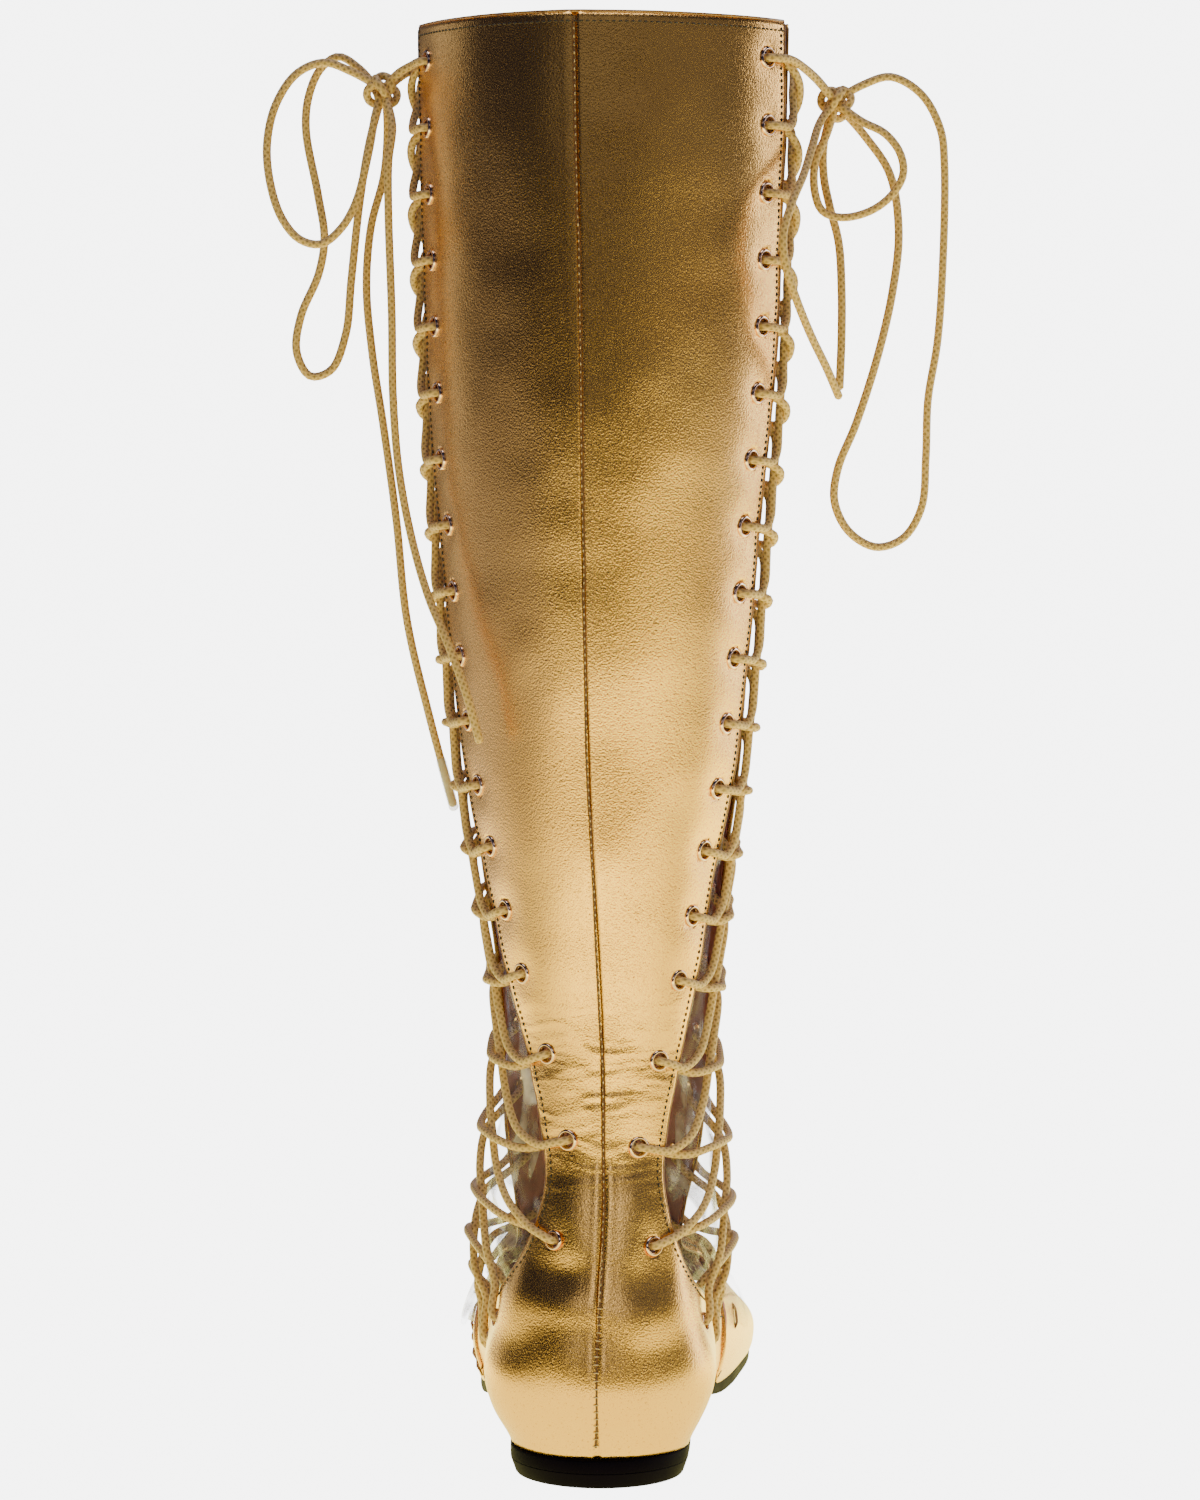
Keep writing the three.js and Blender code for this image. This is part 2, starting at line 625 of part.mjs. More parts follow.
// The knot with the two runs that come to it, and the strands that leave it.
function bow({ side, knot, strands }, rails) {
  const centre = place(side * knot.out, knot.along, knot.height);
  const at = ([out, up, back]) => centre.clone().add(new THREE.Vector3(side * out, back, up));
  const ball = (extra) => {
    const geometry = new THREE.SphereGeometry(1, 12, 8);
    geometry.scale(KNOT.out + extra, KNOT.back + extra, KNOT.up + extra);
    geometry.translate(centre.x, centre.y, centre.z);
    return solidOf(geometry);
  };
  const top = eyeletShares(rails.back)[0];
  const leads = [0, 1].map((across) => {
    const { point: start, normal } = overSpan(rails, top, across);
    start.addScaledVector(normal, CORD / 2).setZ(start.z + CORD + 4 * GAP);
    return tube([start, start.clone().lerp(centre, 0.5), centre], 4);
  });
  const spaced = ball(GAP);
  const solids = { knot: wasm.Manifold.union([ball(0), ...leads]) };
  for (const [name, route] of Object.entries(strands)) {
    const points = route.map(at);
    const length = new THREE.CatmullRomCurve3(points).getLength();
    solids[name] = tube(points, Math.round(length / STRAND_STEP)).subtract(spaced);
  }
  return solids;
}

const finishes = {
  gold: { color: 0xc79a4e, roughness: 0.38, metalness: 0.95 },
  rubber: { color: 0x17171a, roughness: 0.6, metalness: 0 },
  lining: { color: 0x6b4632, roughness: 0.75, metalness: 0 },
  vinyl: { color: 0xe9ebee, roughness: 0.08, metalness: 0, transparent: true, opacity: 0.3 },
  cord: { color: 0xa9834f, roughness: 0.7, metalness: 0 },
};
const sandal = new THREE.Group();
const materials = Object.fromEntries(
  Object.entries(finishes).map(([name, finish]) => [name, new THREE.MeshStandardMaterial(finish)]),
);
function add(name, solid, finish) {
  const mesh = new THREE.Mesh(geometryOf(solid), materials[finish]);
  mesh.name = name;
  sandal.add(mesh);
}

function upper() {
  const backGrid = gridOf(backSurface, 20, 21);
  const frontGrid = gridOf(frontPoint, 12, 27);
  const back = sheetSolid(backGrid, gridNormals(backGrid), 0, WALL);
  const front = sheetSolid(frontGrid, gridNormals(frontGrid), -VAMP_PROUD, WALL - VAMP_PROUD);
  const lower = (along) => underside(along) - GAP;
  return back.add(front).subtract(slab(-GAP, lower, feather, 36)).simplify(FACET_SLACK);
}

add("outsole", slab(0, underside, soleTop, 28), "rubber");
add("heel_block", heelBlock(), "rubber");
add("insole", slab(INSOLE_INSET, feather, (along) => feather(along) + INSOLE_THICKNESS, 24), "lining");
add("upper", upper(), "gold");
for (const [name, shape] of Object.entries(BOWS)) {
  const rails = railsOf(shape.side);
  add(`gusset_${name}`, gusset(rails), "vinyl");
  add(`lacing_${name}`, lacing(rails), "cord");
  for (const [piece, solid] of Object.entries(bow(shape, rails))) add(`lace_${piece}_${name}`, solid, "cord");
}

export default sandal;
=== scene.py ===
# Knee-high gladiator sandal, left foot: gold leather, clear vinyl gussets and laced sides.
# All shapes are worked out in millimetres in the part's own frame, the heel at +Y and the outer side at +X.
import math

import bpy
import numpy as np
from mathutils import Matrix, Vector
from mathutils.bvhtree import BVHTree


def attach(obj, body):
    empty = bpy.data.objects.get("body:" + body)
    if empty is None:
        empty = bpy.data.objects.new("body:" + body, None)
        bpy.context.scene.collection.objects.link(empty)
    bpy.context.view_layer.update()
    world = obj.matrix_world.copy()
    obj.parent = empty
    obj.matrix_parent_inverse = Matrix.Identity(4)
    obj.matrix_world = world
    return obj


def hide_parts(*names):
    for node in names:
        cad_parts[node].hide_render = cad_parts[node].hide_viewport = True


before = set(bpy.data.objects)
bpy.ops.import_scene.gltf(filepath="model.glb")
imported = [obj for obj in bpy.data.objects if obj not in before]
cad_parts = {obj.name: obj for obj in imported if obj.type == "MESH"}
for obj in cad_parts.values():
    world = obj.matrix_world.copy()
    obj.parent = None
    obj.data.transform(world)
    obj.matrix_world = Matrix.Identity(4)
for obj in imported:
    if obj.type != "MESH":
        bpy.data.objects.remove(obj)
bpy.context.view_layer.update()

MM = 0.001

# ---------------------------------------------------------------- sizes, as the part has them
SOLE_LENGTH = 262
TOP = 478
MIDDLE_SIDE = 0.4
MIDDLE_ALONG = 128.7
HEEL_HEIGHT = 5.2
SOLE_THICKNESS = 4.6
INSOLE_THICKNESS = 2.5
INSOLE_INSET = 2.9
GAP = 0.3
WALL = 1.6
VAMP_PROUD = 0.8
CORD = 2.8
BULGE_HEEL = 6.8
BULGE_BALL = 3.4
BULGE_RISE = 9.5
BULGE_POWER = 1.6
FOOT_SQUARENESS = 0.86
HEEL_BREAST = 60
HEEL_ROUND = 27
TOE_ROUND = 50
TOE_SQUARENESS = 2.15
BULGE_CHANGES = (90, 150)  # places along, where the heel's bulge turns into the ball's
SEAT_FADE = 14  # rise over which the back panel's rows follow the sole's line
HEEL_LEAN_REACH = 0.9  # radians round the heel over which the wall leans with the leg
FOOT_TO_LEG = (35, 105)  # levels, where the foot's wall turns into the leg
SQUARE_SHAFT = (150, 260)  # levels, where the round ankle turns into the squarer shaft
SHIN_CORNER = (74, 100)  # degrees round the leg, where the shin narrows
BACK_ROW_POWER = 1.25
BACK_RAIL_FOOT = 29  # level of the lowest point of the lacing's back rail
FIRST_EYELET = 12.5
EYELET_RUNS = [(15, 21.8), (3, 28), (3, 33)]  # eyelets, pitch

# ---------------------------------------------------------------- aids for finding edges and outsides
INSIDE_ALONG = 60  # a place along that lies inside the leg and the foot
LOW_EDGE = 60  # below this level an edge also faces up
EDGE_STEP = 0.03  # step in from an edge, as a share of half the panel

# ---------------------------------------------------------------- camera
EYE_HEIGHT = 346.4
EYE_DISTANCE = 1371.4
EYE_TURN = math.radians(2.05)
EYE_TILT = math.radians(4.34)
FOCAL = 128.15


def make_camera():
    """Behind the heel, looking slightly down."""
    data = bpy.data.cameras.new("camera")
    camera = bpy.data.objects.new("camera", data)
    bpy.context.collection.objects.link(camera)
    side = MIDDLE_SIDE - EYE_DISTANCE * math.sin(EYE_TURN)
    back = MIDDLE_ALONG + EYE_DISTANCE * math.cos(EYE_TURN)
    camera.location = (side * MM, back * MM, EYE_HEIGHT * MM)
    camera.rotation_euler = (math.radians(90) - EYE_TILT, 0, math.radians(180) + EYE_TURN)
    data.sensor_fit = "HORIZONTAL"
    data.sensor_width = 36
    data.lens = FOCAL
    data.clip_start = 0.05
    data.clip_end = 50
    bpy.context.scene.camera = camera


make_camera()


# ---------------------------------------------------------------- curves and small maths
FINE_PER_POINT = 40
LATTICE = 32


def smoothstep(x, low, high):
    t = np.clip((np.asarray(x, float) - low) / (high - low), 0, 1)
    return t * t * (3 - 2 * t)


def unit(v):
    """Vectors at length 1."""
    v = np.asarray(v, float)
    return v / np.maximum(np.linalg.norm(v, axis=-1, keepdims=True), 1e-12)


def table(names, rows):
    """A short table as named columns."""
    return dict(zip(names.split(), np.array(rows, float).T))


def column(rows, start, name):
    """A smooth function through one column of a table, with no overshoot between rows."""
    x = rows[start]
    y = rows[name]
    slope = np.diff(y) / np.diff(x)
    tangent = np.zeros(len(x))
    tangent[0] = slope[0]
    tangent[-1] = slope[-1]
    before = slope[:-1]
    after = slope[1:]
    turning = before * after <= 0
    total = np.where(turning, 1, before + after)
    tangent[1:-1] = np.where(turning, 0, 2 * before * after / total)

    def value(at):
        at = np.clip(np.asarray(at, float), x[0], x[-1])
        i = np.clip(np.searchsorted(x, at, side="right") - 1, 0, len(x) - 2)
        span = x[i + 1] - x[i]
        t = (at - x[i]) / span
        t2 = t * t
        t3 = t2 * t
        start_part = (2 * t3 - 3 * t2 + 1) * y[i] + (t3 - 2 * t2 + t) * span * tangent[i]
        end_part = (3 * t2 - 2 * t3) * y[i + 1] + (t3 - t2) * span * tangent[i + 1]
        return start_part + end_part

    return value


def catmull_rom(points, share):
    """Centripetal curves through points[i, k]: for each k, its place at share[k]."""
    last = len(points) - 1
    p = np.asarray(share, float) * last
    i = np.clip(np.floor(p).astype(int), 0, last - 1)
    t = (p - i)[:, None]
    k = np.arange(points.shape[1])
    p1 = points[i, k]
    p2 = points[i + 1, k]
    p0 = np.where((i > 0)[:, None], points[np.maximum(i - 1, 0), k], 2 * points[0, k] - points[1, k])
    ahead = 2 * points[last, k] - points[last - 1, k]
    p3 = np.where((i + 2 <= last)[:, None], points[np.minimum(i + 2, last), k], ahead)

    def knot_gap(a, b):
        return np.maximum(np.linalg.norm(b - a, axis=1), 1e-8)[:, None] ** 0.5

    d0 = knot_gap(p0, p1)
    d1 = knot_gap(p1, p2)
    d2 = knot_gap(p2, p3)
    t1 = ((p1 - p0) / d0 - (p2 - p0) / (d0 + d1) + (p2 - p1) / d1) * d1
    t2 = ((p2 - p1) / d1 - (p3 - p1) / (d1 + d2) + (p3 - p2) / d2) * d1
    c2 = -3 * p1 + 3 * p2 - 2 * t1 - t2
    c3 = 2 * p1 - 2 * p2 + t1 + t2
    return p1 + t1 * t + c2 * t**2 + c3 * t**3


def arc_lengths(path):
    """The running length at each point of a path."""
    return np.concatenate([[0], np.cumsum(np.linalg.norm(np.diff(path, axis=0), axis=1))])


def along_path(path, distances):
    """The points of a path at the distances along it."""
    lengths = arc_lengths(path)
    return np.stack([np.interp(distances, lengths, path[:, k]) for k in range(3)], axis=1)


def smooth_path(points, step):
    """A smooth line through given points, in even steps."""
    points = np.asarray(points, float)
    count = FINE_PER_POINT * len(points)
    fine = catmull_rom(np.repeat(points[:, None], count, axis=1), np.linspace(0, 1, count))
    length = arc_lengths(fine)[-1]
    return along_path(fine, np.linspace(0, length, max(2, round(length / step)) + 1))


def lattice_noise(points, size, seed):
    """Smooth noise from 0 to 1 with features of one size, or a size for each axis."""
    lattice = np.random.RandomState(seed).rand(LATTICE, LATTICE, LATTICE)
    q = points / np.asarray(size, float)
    cell = np.floor(q).astype(int)
    f = q - cell
    f = f * f * (3 - 2 * f)
    total = np.zeros(len(points))
    for corner in np.ndindex(2, 2, 2):
        weight = np.prod(np.where(np.array(corner) == 1, f, 1 - f), axis=1)
        x, y, z = ((cell + corner) % LATTICE).T
        total += weight * lattice[x, y, z]
    return total


# ---------------------------------------------------------------- the sandal's surfaces
OUTLINE = table("along half middle", [
    (0, 28.5, 1), (40, 30.2, 1.3), (90, 31.8, 3.5), (130, 40.4, 4.8),
    (165, 46.5, 2.8), (190, 47.6, 0.2), (215, 45, -3.5), (262, 36, -8),
])
UNDERSIDE = table("along height", [
    (0, HEEL_HEIGHT), (62, HEEL_HEIGHT), (105, 6), (148, 0), (205, 0), (235, 2.2), (262, 8),
])
RIDGE = table("along height", [
    (0, 520), (60, 320), (90, 210), (110, 128), (118, 93), (130, 77),
    (150, 62), (171, 50), (190, 40.5), (207, 32), (225, 25), (262, 18),
])
LEG = table("height half middle back front", [
    (14, 33, 1, 0.5, 128), (32, 34.5, 1, -2.5, 124), (55, 35, 0, -0.5, 118),
    (85, 34.5, -1, 8, 108), (110, 34.5, -0.6, 13.5, 101), (140, 35, -0.3, 14, 99.5),
    (177, 38.8, 0.3, 11, 99), (226, 47.2, 0.9, 6, 102), (271, 52.7, 1.1, 2, 106), (310, 56.3, 1, -1, 109),
    (360, 60.7, 0.3, -3, 113), (420, 63.7, 0, -3, 117), (478, 64.6, -0.8, -1, 119),
])
SHAFT_RIDGE = 1.22
SHIN_NARROWING = 0.1
TWIST = table("height turn", [(0, 0), (130, 0), (226, 3.4), (305, 4.6), (400, 6), (478, 8)])
BACK_EDGE = table("height reach", [
    (14, 101), (28, 97.5), (36, 83), (44, 71), (54, 56), (66, 40), (80, 34.5), (97, 33.2),
    (118, 37.8), (140, 47.5), (166, 57.5), (187, 64), (226, 70.5), (300, 73.5), (478, 73.5),
])
VAMP = [  # along, sweep, reach
    (207, 17, 90), (199, 11, 90), (189, 3, 90), (179, -8, 90), (170, -21, 90), (164, -32, 90),
    (160, -18, 83), (157, -5, 73), (152, 3, 62), (146, 4, 53), (138, 2, 48),
]
INSTEP = [  # along, height, tilt, half, drop, reach
    (128, 78.5, 18, 40, 70, 46), (118, 91, 42, 39, 60, 49),
    (109, 110, 63, 37.5, 52, 60), (102.5, 133, 80, 36, 45.5, 74),
]
SHIN = [  # height, reach
    (160, 81), (195, 85), (226, 87), (271, 87.5), (310, 87.5), (360, 87.5), (420, 87.5), (478, 87.5),
]
SWELL = table("share swell", [(0, 0), (0.64, 0), (0.74, 5), (0.82, 7.5), (0.9, 4), (0.97, 0), (1, 0)])

outline_half = column(OUTLINE, "along", "half")
outline_middle = column(OUTLINE, "along", "middle")
underside = column(UNDERSIDE, "along", "height")
ridge = column(RIDGE, "along", "height")
leg_half = column(LEG, "height", "half")
leg_middle = column(LEG, "height", "middle")
leg_back = column(LEG, "height", "back")
leg_front = column(LEG, "height", "front")
twist = column(TWIST, "height", "turn")
back_reach = column(BACK_EDGE, "height", "reach")
swell_at = column(SWELL, "share", "swell")


def place(side, along, height):
    """Sideways, along from the heel's back, and height, in the row frame."""
    side, along, height = np.broadcast_arrays(side, along, height)
    return np.stack([side + MIDDLE_SIDE, MIDDLE_ALONG - along, height], axis=-1).astype(float)


def round_ends(along):
    """How the outline closes at the heel and the toe, from 0 at the tip to 1."""
    along = np.asarray(along, float)
    heel = np.sqrt(np.maximum(0, 1 - ((HEEL_ROUND - along) / HEEL_ROUND) ** 2))
    past = np.maximum(0, (along - (SOLE_LENGTH - TOE_ROUND)) / TOE_ROUND)
    toe = np.maximum(0, 1 - past**TOE_SQUARENESS) ** (1 / TOE_SQUARENESS)
    return np.where(along < HEEL_ROUND, heel, toe)


def sole_top(along):
    return underside(along) + SOLE_THICKNESS


def feather(along):
    """The line where the upper meets the sole."""
    return sole_top(along) + GAP


def bulge(along, rise):
    """How far the foot's wall stands out past the sole, a rise above the sole."""
    most = BULGE_HEEL + (BULGE_BALL - BULGE_HEEL) * smoothstep(along, *BULGE_CHANGES)
    return most * (1 - np.exp(-((np.maximum(rise, 0) / BULGE_RISE) ** BULGE_POWER)))


def foot_half(along, height):
    """Half the foot's width at a height."""
    rise = np.maximum(0, height - feather(along))
    share = np.minimum(1, rise / (ridge(along) - feather(along)))
    power = 2 / FOOT_SQUARENESS
    wide = (outline_half(along) + bulge(along, rise)) * round_ends(along)
    return wide * (1 - share**power) ** (1 / power)


def leg_point(height, angle):
    """A point on the leg, an angle round from the back seam."""
    ridged = 1 + (SHAFT_RIDGE - 1) * smoothstep(height, *SQUARE_SHAFT)
    aside = np.sign(np.sin(angle)) * np.abs(np.sin(angle)) ** ridged
    back = np.sign(np.cos(angle)) * np.abs(np.cos(angle)) ** ridged
    round_leg = np.degrees(np.abs(np.arctan2(np.sin(angle), np.cos(angle))))
    narrowing = SHIN_NARROWING * smoothstep(round_leg, *SHIN_CORNER) * smoothstep(height, *SQUARE_SHAFT)
    aside = aside * (1 - narrowing)
    turn = np.radians(twist(height))
    middle = (leg_back(height) + leg_front(height)) / 2
    depth = (leg_front(height) - leg_back(height)) / 2
    side = leg_middle(height) + leg_half(height) * (aside * np.cos(turn) + back * np.sin(turn))
    return place(side, middle - depth * (back * np.cos(turn) - aside * np.sin(turn)), height)


def back_point(side, reach, level):
    """A point on the back panel and quarters: the foot's wall low down, the leg higher up."""
    along = (SOLE_LENGTH / 2) * (1 - np.cos(reach))
    seat = feather(0)
    height = level - (seat - feather(along)) * np.maximum(0, 1 - (level - seat) / SEAT_FADE)
    at_back = leg_back(level) * np.maximum(0, 1 - reach / HEEL_LEAN_REACH) ** 2
    foot = place(outline_middle(along) + side * foot_half(along, height), along + at_back, height)
    leg = leg_point(level, side * reach)
    return foot + (leg - foot) * smoothstep(level, *FOOT_TO_LEG)[..., None]


def foot_point(along, side, angle):
    """A point on the foot, an angle round from its top line."""
    cosine = np.maximum(np.cos(angle), 0)
    height = feather(along) + (ridge(along) - feather(along)) * cosine**FOOT_SQUARENESS
    half = (outline_half(along) + bulge(along, height - feather(along))) * round_ends(along)
    return place(outline_middle(along) + side * half * np.sin(angle) ** FOOT_SQUARENESS, along, height)


def vamp_section(across, along, sweep, reach):
    """A section of the vamp, over the foot, swept back or forward at its sides."""
    reach = math.radians(reach)
    angle = np.abs(across) * reach
    share = np.sin(angle) / math.sin(reach)
    return foot_point(along + sweep * share**2, np.sign(across), angle)


def instep_section(across, along, height, tilt, half, drop, reach):
    """A section over the instep, in a plane tilted between the vamp's and the shin's."""
    angle = across * math.radians(reach)
    tilt = math.radians(tilt)
    fall = drop * (1 - np.cos(angle))
    side = outline_middle(along) * math.cos(tilt) + half * np.sin(angle)
    return place(side, along - fall * math.sin(tilt), height - fall * math.cos(tilt))


def front_surface(across, share):
    """The vamp, instep and shin panel in one skin, from the toe opening at 0 to the collar at 1."""
    across = np.asarray(across, float)
    sections = [vamp_section(across, *row) for row in VAMP]
    sections += [instep_section(across, *row) for row in INSTEP]
    sections += [leg_point(height, np.pi - across * math.radians(reach)) for height, reach in SHIN]
    return catmull_rom(np.stack(sections), share)


def back_surface(across, share):
    """The back panel with its quarters, from the sole at 0 to the collar at 1."""
    level = feather(0) + (TOP - feather(0)) * np.asarray(share, float) ** BACK_ROW_POWER
    side = np.where(np.asarray(across) < 0, -1.0, 1.0)
    return back_point(side, np.abs(across) * np.radians(back_reach(level)), level)


def share_of_level(level):
    """The back surface's share at a level."""
    return ((level - feather(0)) / (TOP - feather(0))) ** (1 / BACK_ROW_POWER)


def share_of_section(number):
    """The front surface's share at a section, counted from 0 at the toe opening."""
    return number / (len(VAMP) + len(INSTEP) + len(SHIN) - 1)


# ---------------------------------------------------------------- shader building
def add_node(tree, kind, inputs=None, **settings):
    """A shader node with its settings, and its inputs set to values or linked to sockets."""
    made = tree.nodes.new("ShaderNode" + kind)
    for name, value in settings.items():
        setattr(made, name, value)
    for name, value in (inputs or {}).items():
        socket = made.inputs[name]
        if isinstance(value, bpy.types.NodeSocket):
            tree.links.new(value, socket)
        else:
            socket.default_value = value
    return made


def ramp(tree, value, stops):
    """A colour ramp over (position, colour or grey) stops."""
    made = add_node(tree, "ValToRGB", {"Fac": value})
    elements = made.color_ramp.elements
    while len(elements) < len(stops):
        elements.new(0.5)
    for element, (position, colour) in zip(elements, stops):
        element.position = position
        grey = isinstance(colour, (int, float))
        element.color = (colour, colour, colour, 1) if grey else (*colour, 1)
    return made.outputs["Color"]


def maths(tree, operation, *values, clamp=False):
    inputs = dict(enumerate(values))
    return add_node(tree, "Math", inputs, operation=operation, use_clamp=clamp).outputs[0]


def linear(tree, value, slope, start, clamp=False):
    """A value times a slope, plus a start."""
    return maths(tree, "MULTIPLY_ADD", value, slope, start, clamp=clamp)


def eased(tree, value, away, into, low, high=1.0):
    """A value eased from low, where it is away, to high, where it is into."""
    made = add_node(tree, "MapRange", {"Value": value, "From Min": away, "From Max": into,
                                       "To Min": low, "To Max": high}, interpolation_type="SMOOTHSTEP")
    return made.outputs["Result"]


def object_place(tree):
    """The place on the piece, in metres."""
    return add_node(tree, "TexCoord").outputs["Object"]


def mix_colours(tree, share, first, second, blend="MIX"):
    made = tree.nodes.new("ShaderNodeMix")
    made.data_type = "RGBA"
    made.blend_type = blend
    for index, value in ((0, share), (6, first), (7, second)):
        socket = made.inputs[index]
        if isinstance(value, bpy.types.NodeSocket):
            tree.links.new(value, socket)
        else:
            socket.default_value = value if index == 0 else (*value, 1)
    return made.outputs[2]


def new_group(name, inputs, outputs):
    """An empty shader group with named sockets: inputs as {name: default}, outputs as names."""
    tree = bpy.data.node_groups.new(name, "ShaderNodeTree")
    for socket_name, default in inputs.items():
        socket = tree.interface.new_socket(socket_name, in_out="INPUT", socket_type="NodeSocketFloat")
        socket.default_value = default
    for socket_name in outputs:
        tree.interface.new_socket(socket_name, in_out="OUTPUT", socket_type="NodeSocketFloat")
    return tree, tree.nodes.new("NodeGroupInput").outputs, tree.nodes.new("NodeGroupOutput").inputs


def use_group(tree, group, inputs=None):
    made = tree.nodes.new("ShaderNodeGroup")
    made.node_tree = group
    for name, value in (inputs or {}).items():
        made.inputs[name].default_value = value
    return made.outputs


def grain_group():
    """Pebbled leather grain: small rounded cells broken up by a finer noise."""
    tree, inputs, outputs = new_group("leather_grain", {"Cell": 0.0009, "Fine": 0.0003}, ["Height", "Pit"])
    where = object_place(tree)
    cells_per_metre = maths(tree, "DIVIDE", 1, inputs["Cell"])
    fine_per_metre = maths(tree, "DIVIDE", 1, inputs["Fine"])
    warp = add_node(tree, "TexNoise", {"Vector": where, "Scale": fine_per_metre, "Detail": 2})
    cells = add_node(tree, "TexVoronoi", {"Vector": where, "Scale": cells_per_metre, "Randomness": 1},
                     feature="SMOOTH_F1")
    clumps = add_node(tree, "TexNoise", {"Vector": where, "Scale": cells_per_metre, "Detail": 2,
                                         "Roughness": 0.5})
    rounded = maths(tree, "SUBTRACT", 1, cells.outputs["Distance"])
    part = maths(tree, "MULTIPLY", rounded, 0.6)
    part = linear(tree, clumps.outputs["Fac"], slope=0.5, start=part)
    height = linear(tree, warp.outputs["Fac"], slope=0.25, start=part)
    tree.links.new(height, outputs["Height"])
    pit = add_node(tree, "MapRange", {"Value": height, "From Min": 0.62, "From Max": 0.45})
    tree.links.new(pit.outputs["Result"], outputs["Pit"])
    return tree


def blotch_group():
    """Slow uneven tone, as of handling and foil laid on by hand."""
    tree, inputs, outputs = new_group("uneven_tone", {"Size": 0.03, "Contrast": 1.0}, ["Tone"])
    where = object_place(tree)
    per_metre = maths(tree, "DIVIDE", 1, inputs["Size"])
    slow = add_node(tree, "TexNoise", {"Vector": where, "Scale": per_metre, "Detail": 4, "Roughness": 0.55})
    centred = maths(tree, "SUBTRACT", slow.outputs["Fac"], 0.5)
    scaled = maths(tree, "MULTIPLY", centred, inputs["Contrast"])
    tree.links.new(maths(tree, "ADD", scaled, 0.5, clamp=True), outputs["Tone"])
    return tree


GRAIN = grain_group()
BLOTCH = blotch_group()


def new_material(name, **values):
    """A material with its Principled shader, and plain values on the shader's own sockets."""
    material = bpy.data.materials.new(name)
    material.use_nodes = True
    tree = material.node_tree
    shader = tree.nodes["Principled BSDF"]
    for socket, value in values.items():
        shader.inputs[socket.replace("_", " ")].default_value = value
    return material, tree, shader


def bump(tree, shader, height, strength, distance):
    made = add_node(tree, "Bump", {"Height": height, "Strength": strength, "Distance": distance})
    tree.links.new(made.outputs["Normal"], shader.inputs["Normal"])


def gold_leather():
    """Gold foil on pebbled leather: the grain's pits painted darker as shade, and the tone drifts slowly."""
    material, tree, shader = new_material("gold_foil_leather", Metallic=1.0)
    grain = use_group(tree, GRAIN, {"Cell": 0.0006, "Fine": 0.00022})
    tone = use_group(tree, BLOTCH, {"Size": 0.05, "Contrast": 1.0})
    foil = ramp(tree, tone["Tone"], [(0.2, (0.88, 0.48, 0.135)), (0.8, (0.97, 0.57, 0.165))])
    # Painted shade: the foil is darkened towards brown in the grain's pits, where shade falls.
    pit_shaded_foil = mix_colours(tree, maths(tree, "MULTIPLY", grain["Pit"], 0.5), foil, (0.38, 0.18, 0.045))
    tree.links.new(pit_shaded_foil, shader.inputs["Base Color"])
    smooth_foil = linear(tree, tone["Tone"], slope=-0.012, start=0.266)
    rough = linear(tree, grain["Pit"], slope=0.08, start=smooth_foil)
    tree.links.new(rough, shader.inputs["Roughness"])
    bump(tree, shader, grain["Height"], strength=0.42, distance=0.0003)
    return material


def lining_leather():
    """Brown lining: matt, faintly grained."""
    material, tree, shader = new_material("brown_lining", Metallic=0.0)
    grain = use_group(tree, GRAIN, {"Cell": 0.0007, "Fine": 0.00025})
    tone = use_group(tree, BLOTCH, {"Size": 0.02, "Contrast": 1.5})
    colour = ramp(tree, tone["Tone"], [(0.2, (0.28, 0.10, 0.105)), (0.8, (0.46, 0.18, 0.19))])
    tree.links.new(colour, shader.inputs["Base Color"])
    tree.links.new(linear(tree, tone["Tone"], slope=0.2, start=0.45), shader.inputs["Roughness"])
    bump(tree, shader, grain["Height"], strength=0.35, distance=0.0002)
    return material


def edge_paint():
    """Amber-brown paint on the cut edges."""
    material, tree, shader = new_material("amber_edge_paint", Metallic=0.0, Coat_Weight=0.4,
                                          Coat_Roughness=0.2)
    tone = use_group(tree, BLOTCH, {"Size": 0.004, "Contrast": 1.6})
    colour = ramp(tree, tone["Tone"], [(0.2, (0.16, 0.065, 0.018)), (0.8, (0.42, 0.20, 0.055))])
    tree.links.new(colour, shader.inputs["Base Color"])
    tree.links.new(linear(tree, tone["Tone"], slope=0.2, start=0.22), shader.inputs["Roughness"])
    return material


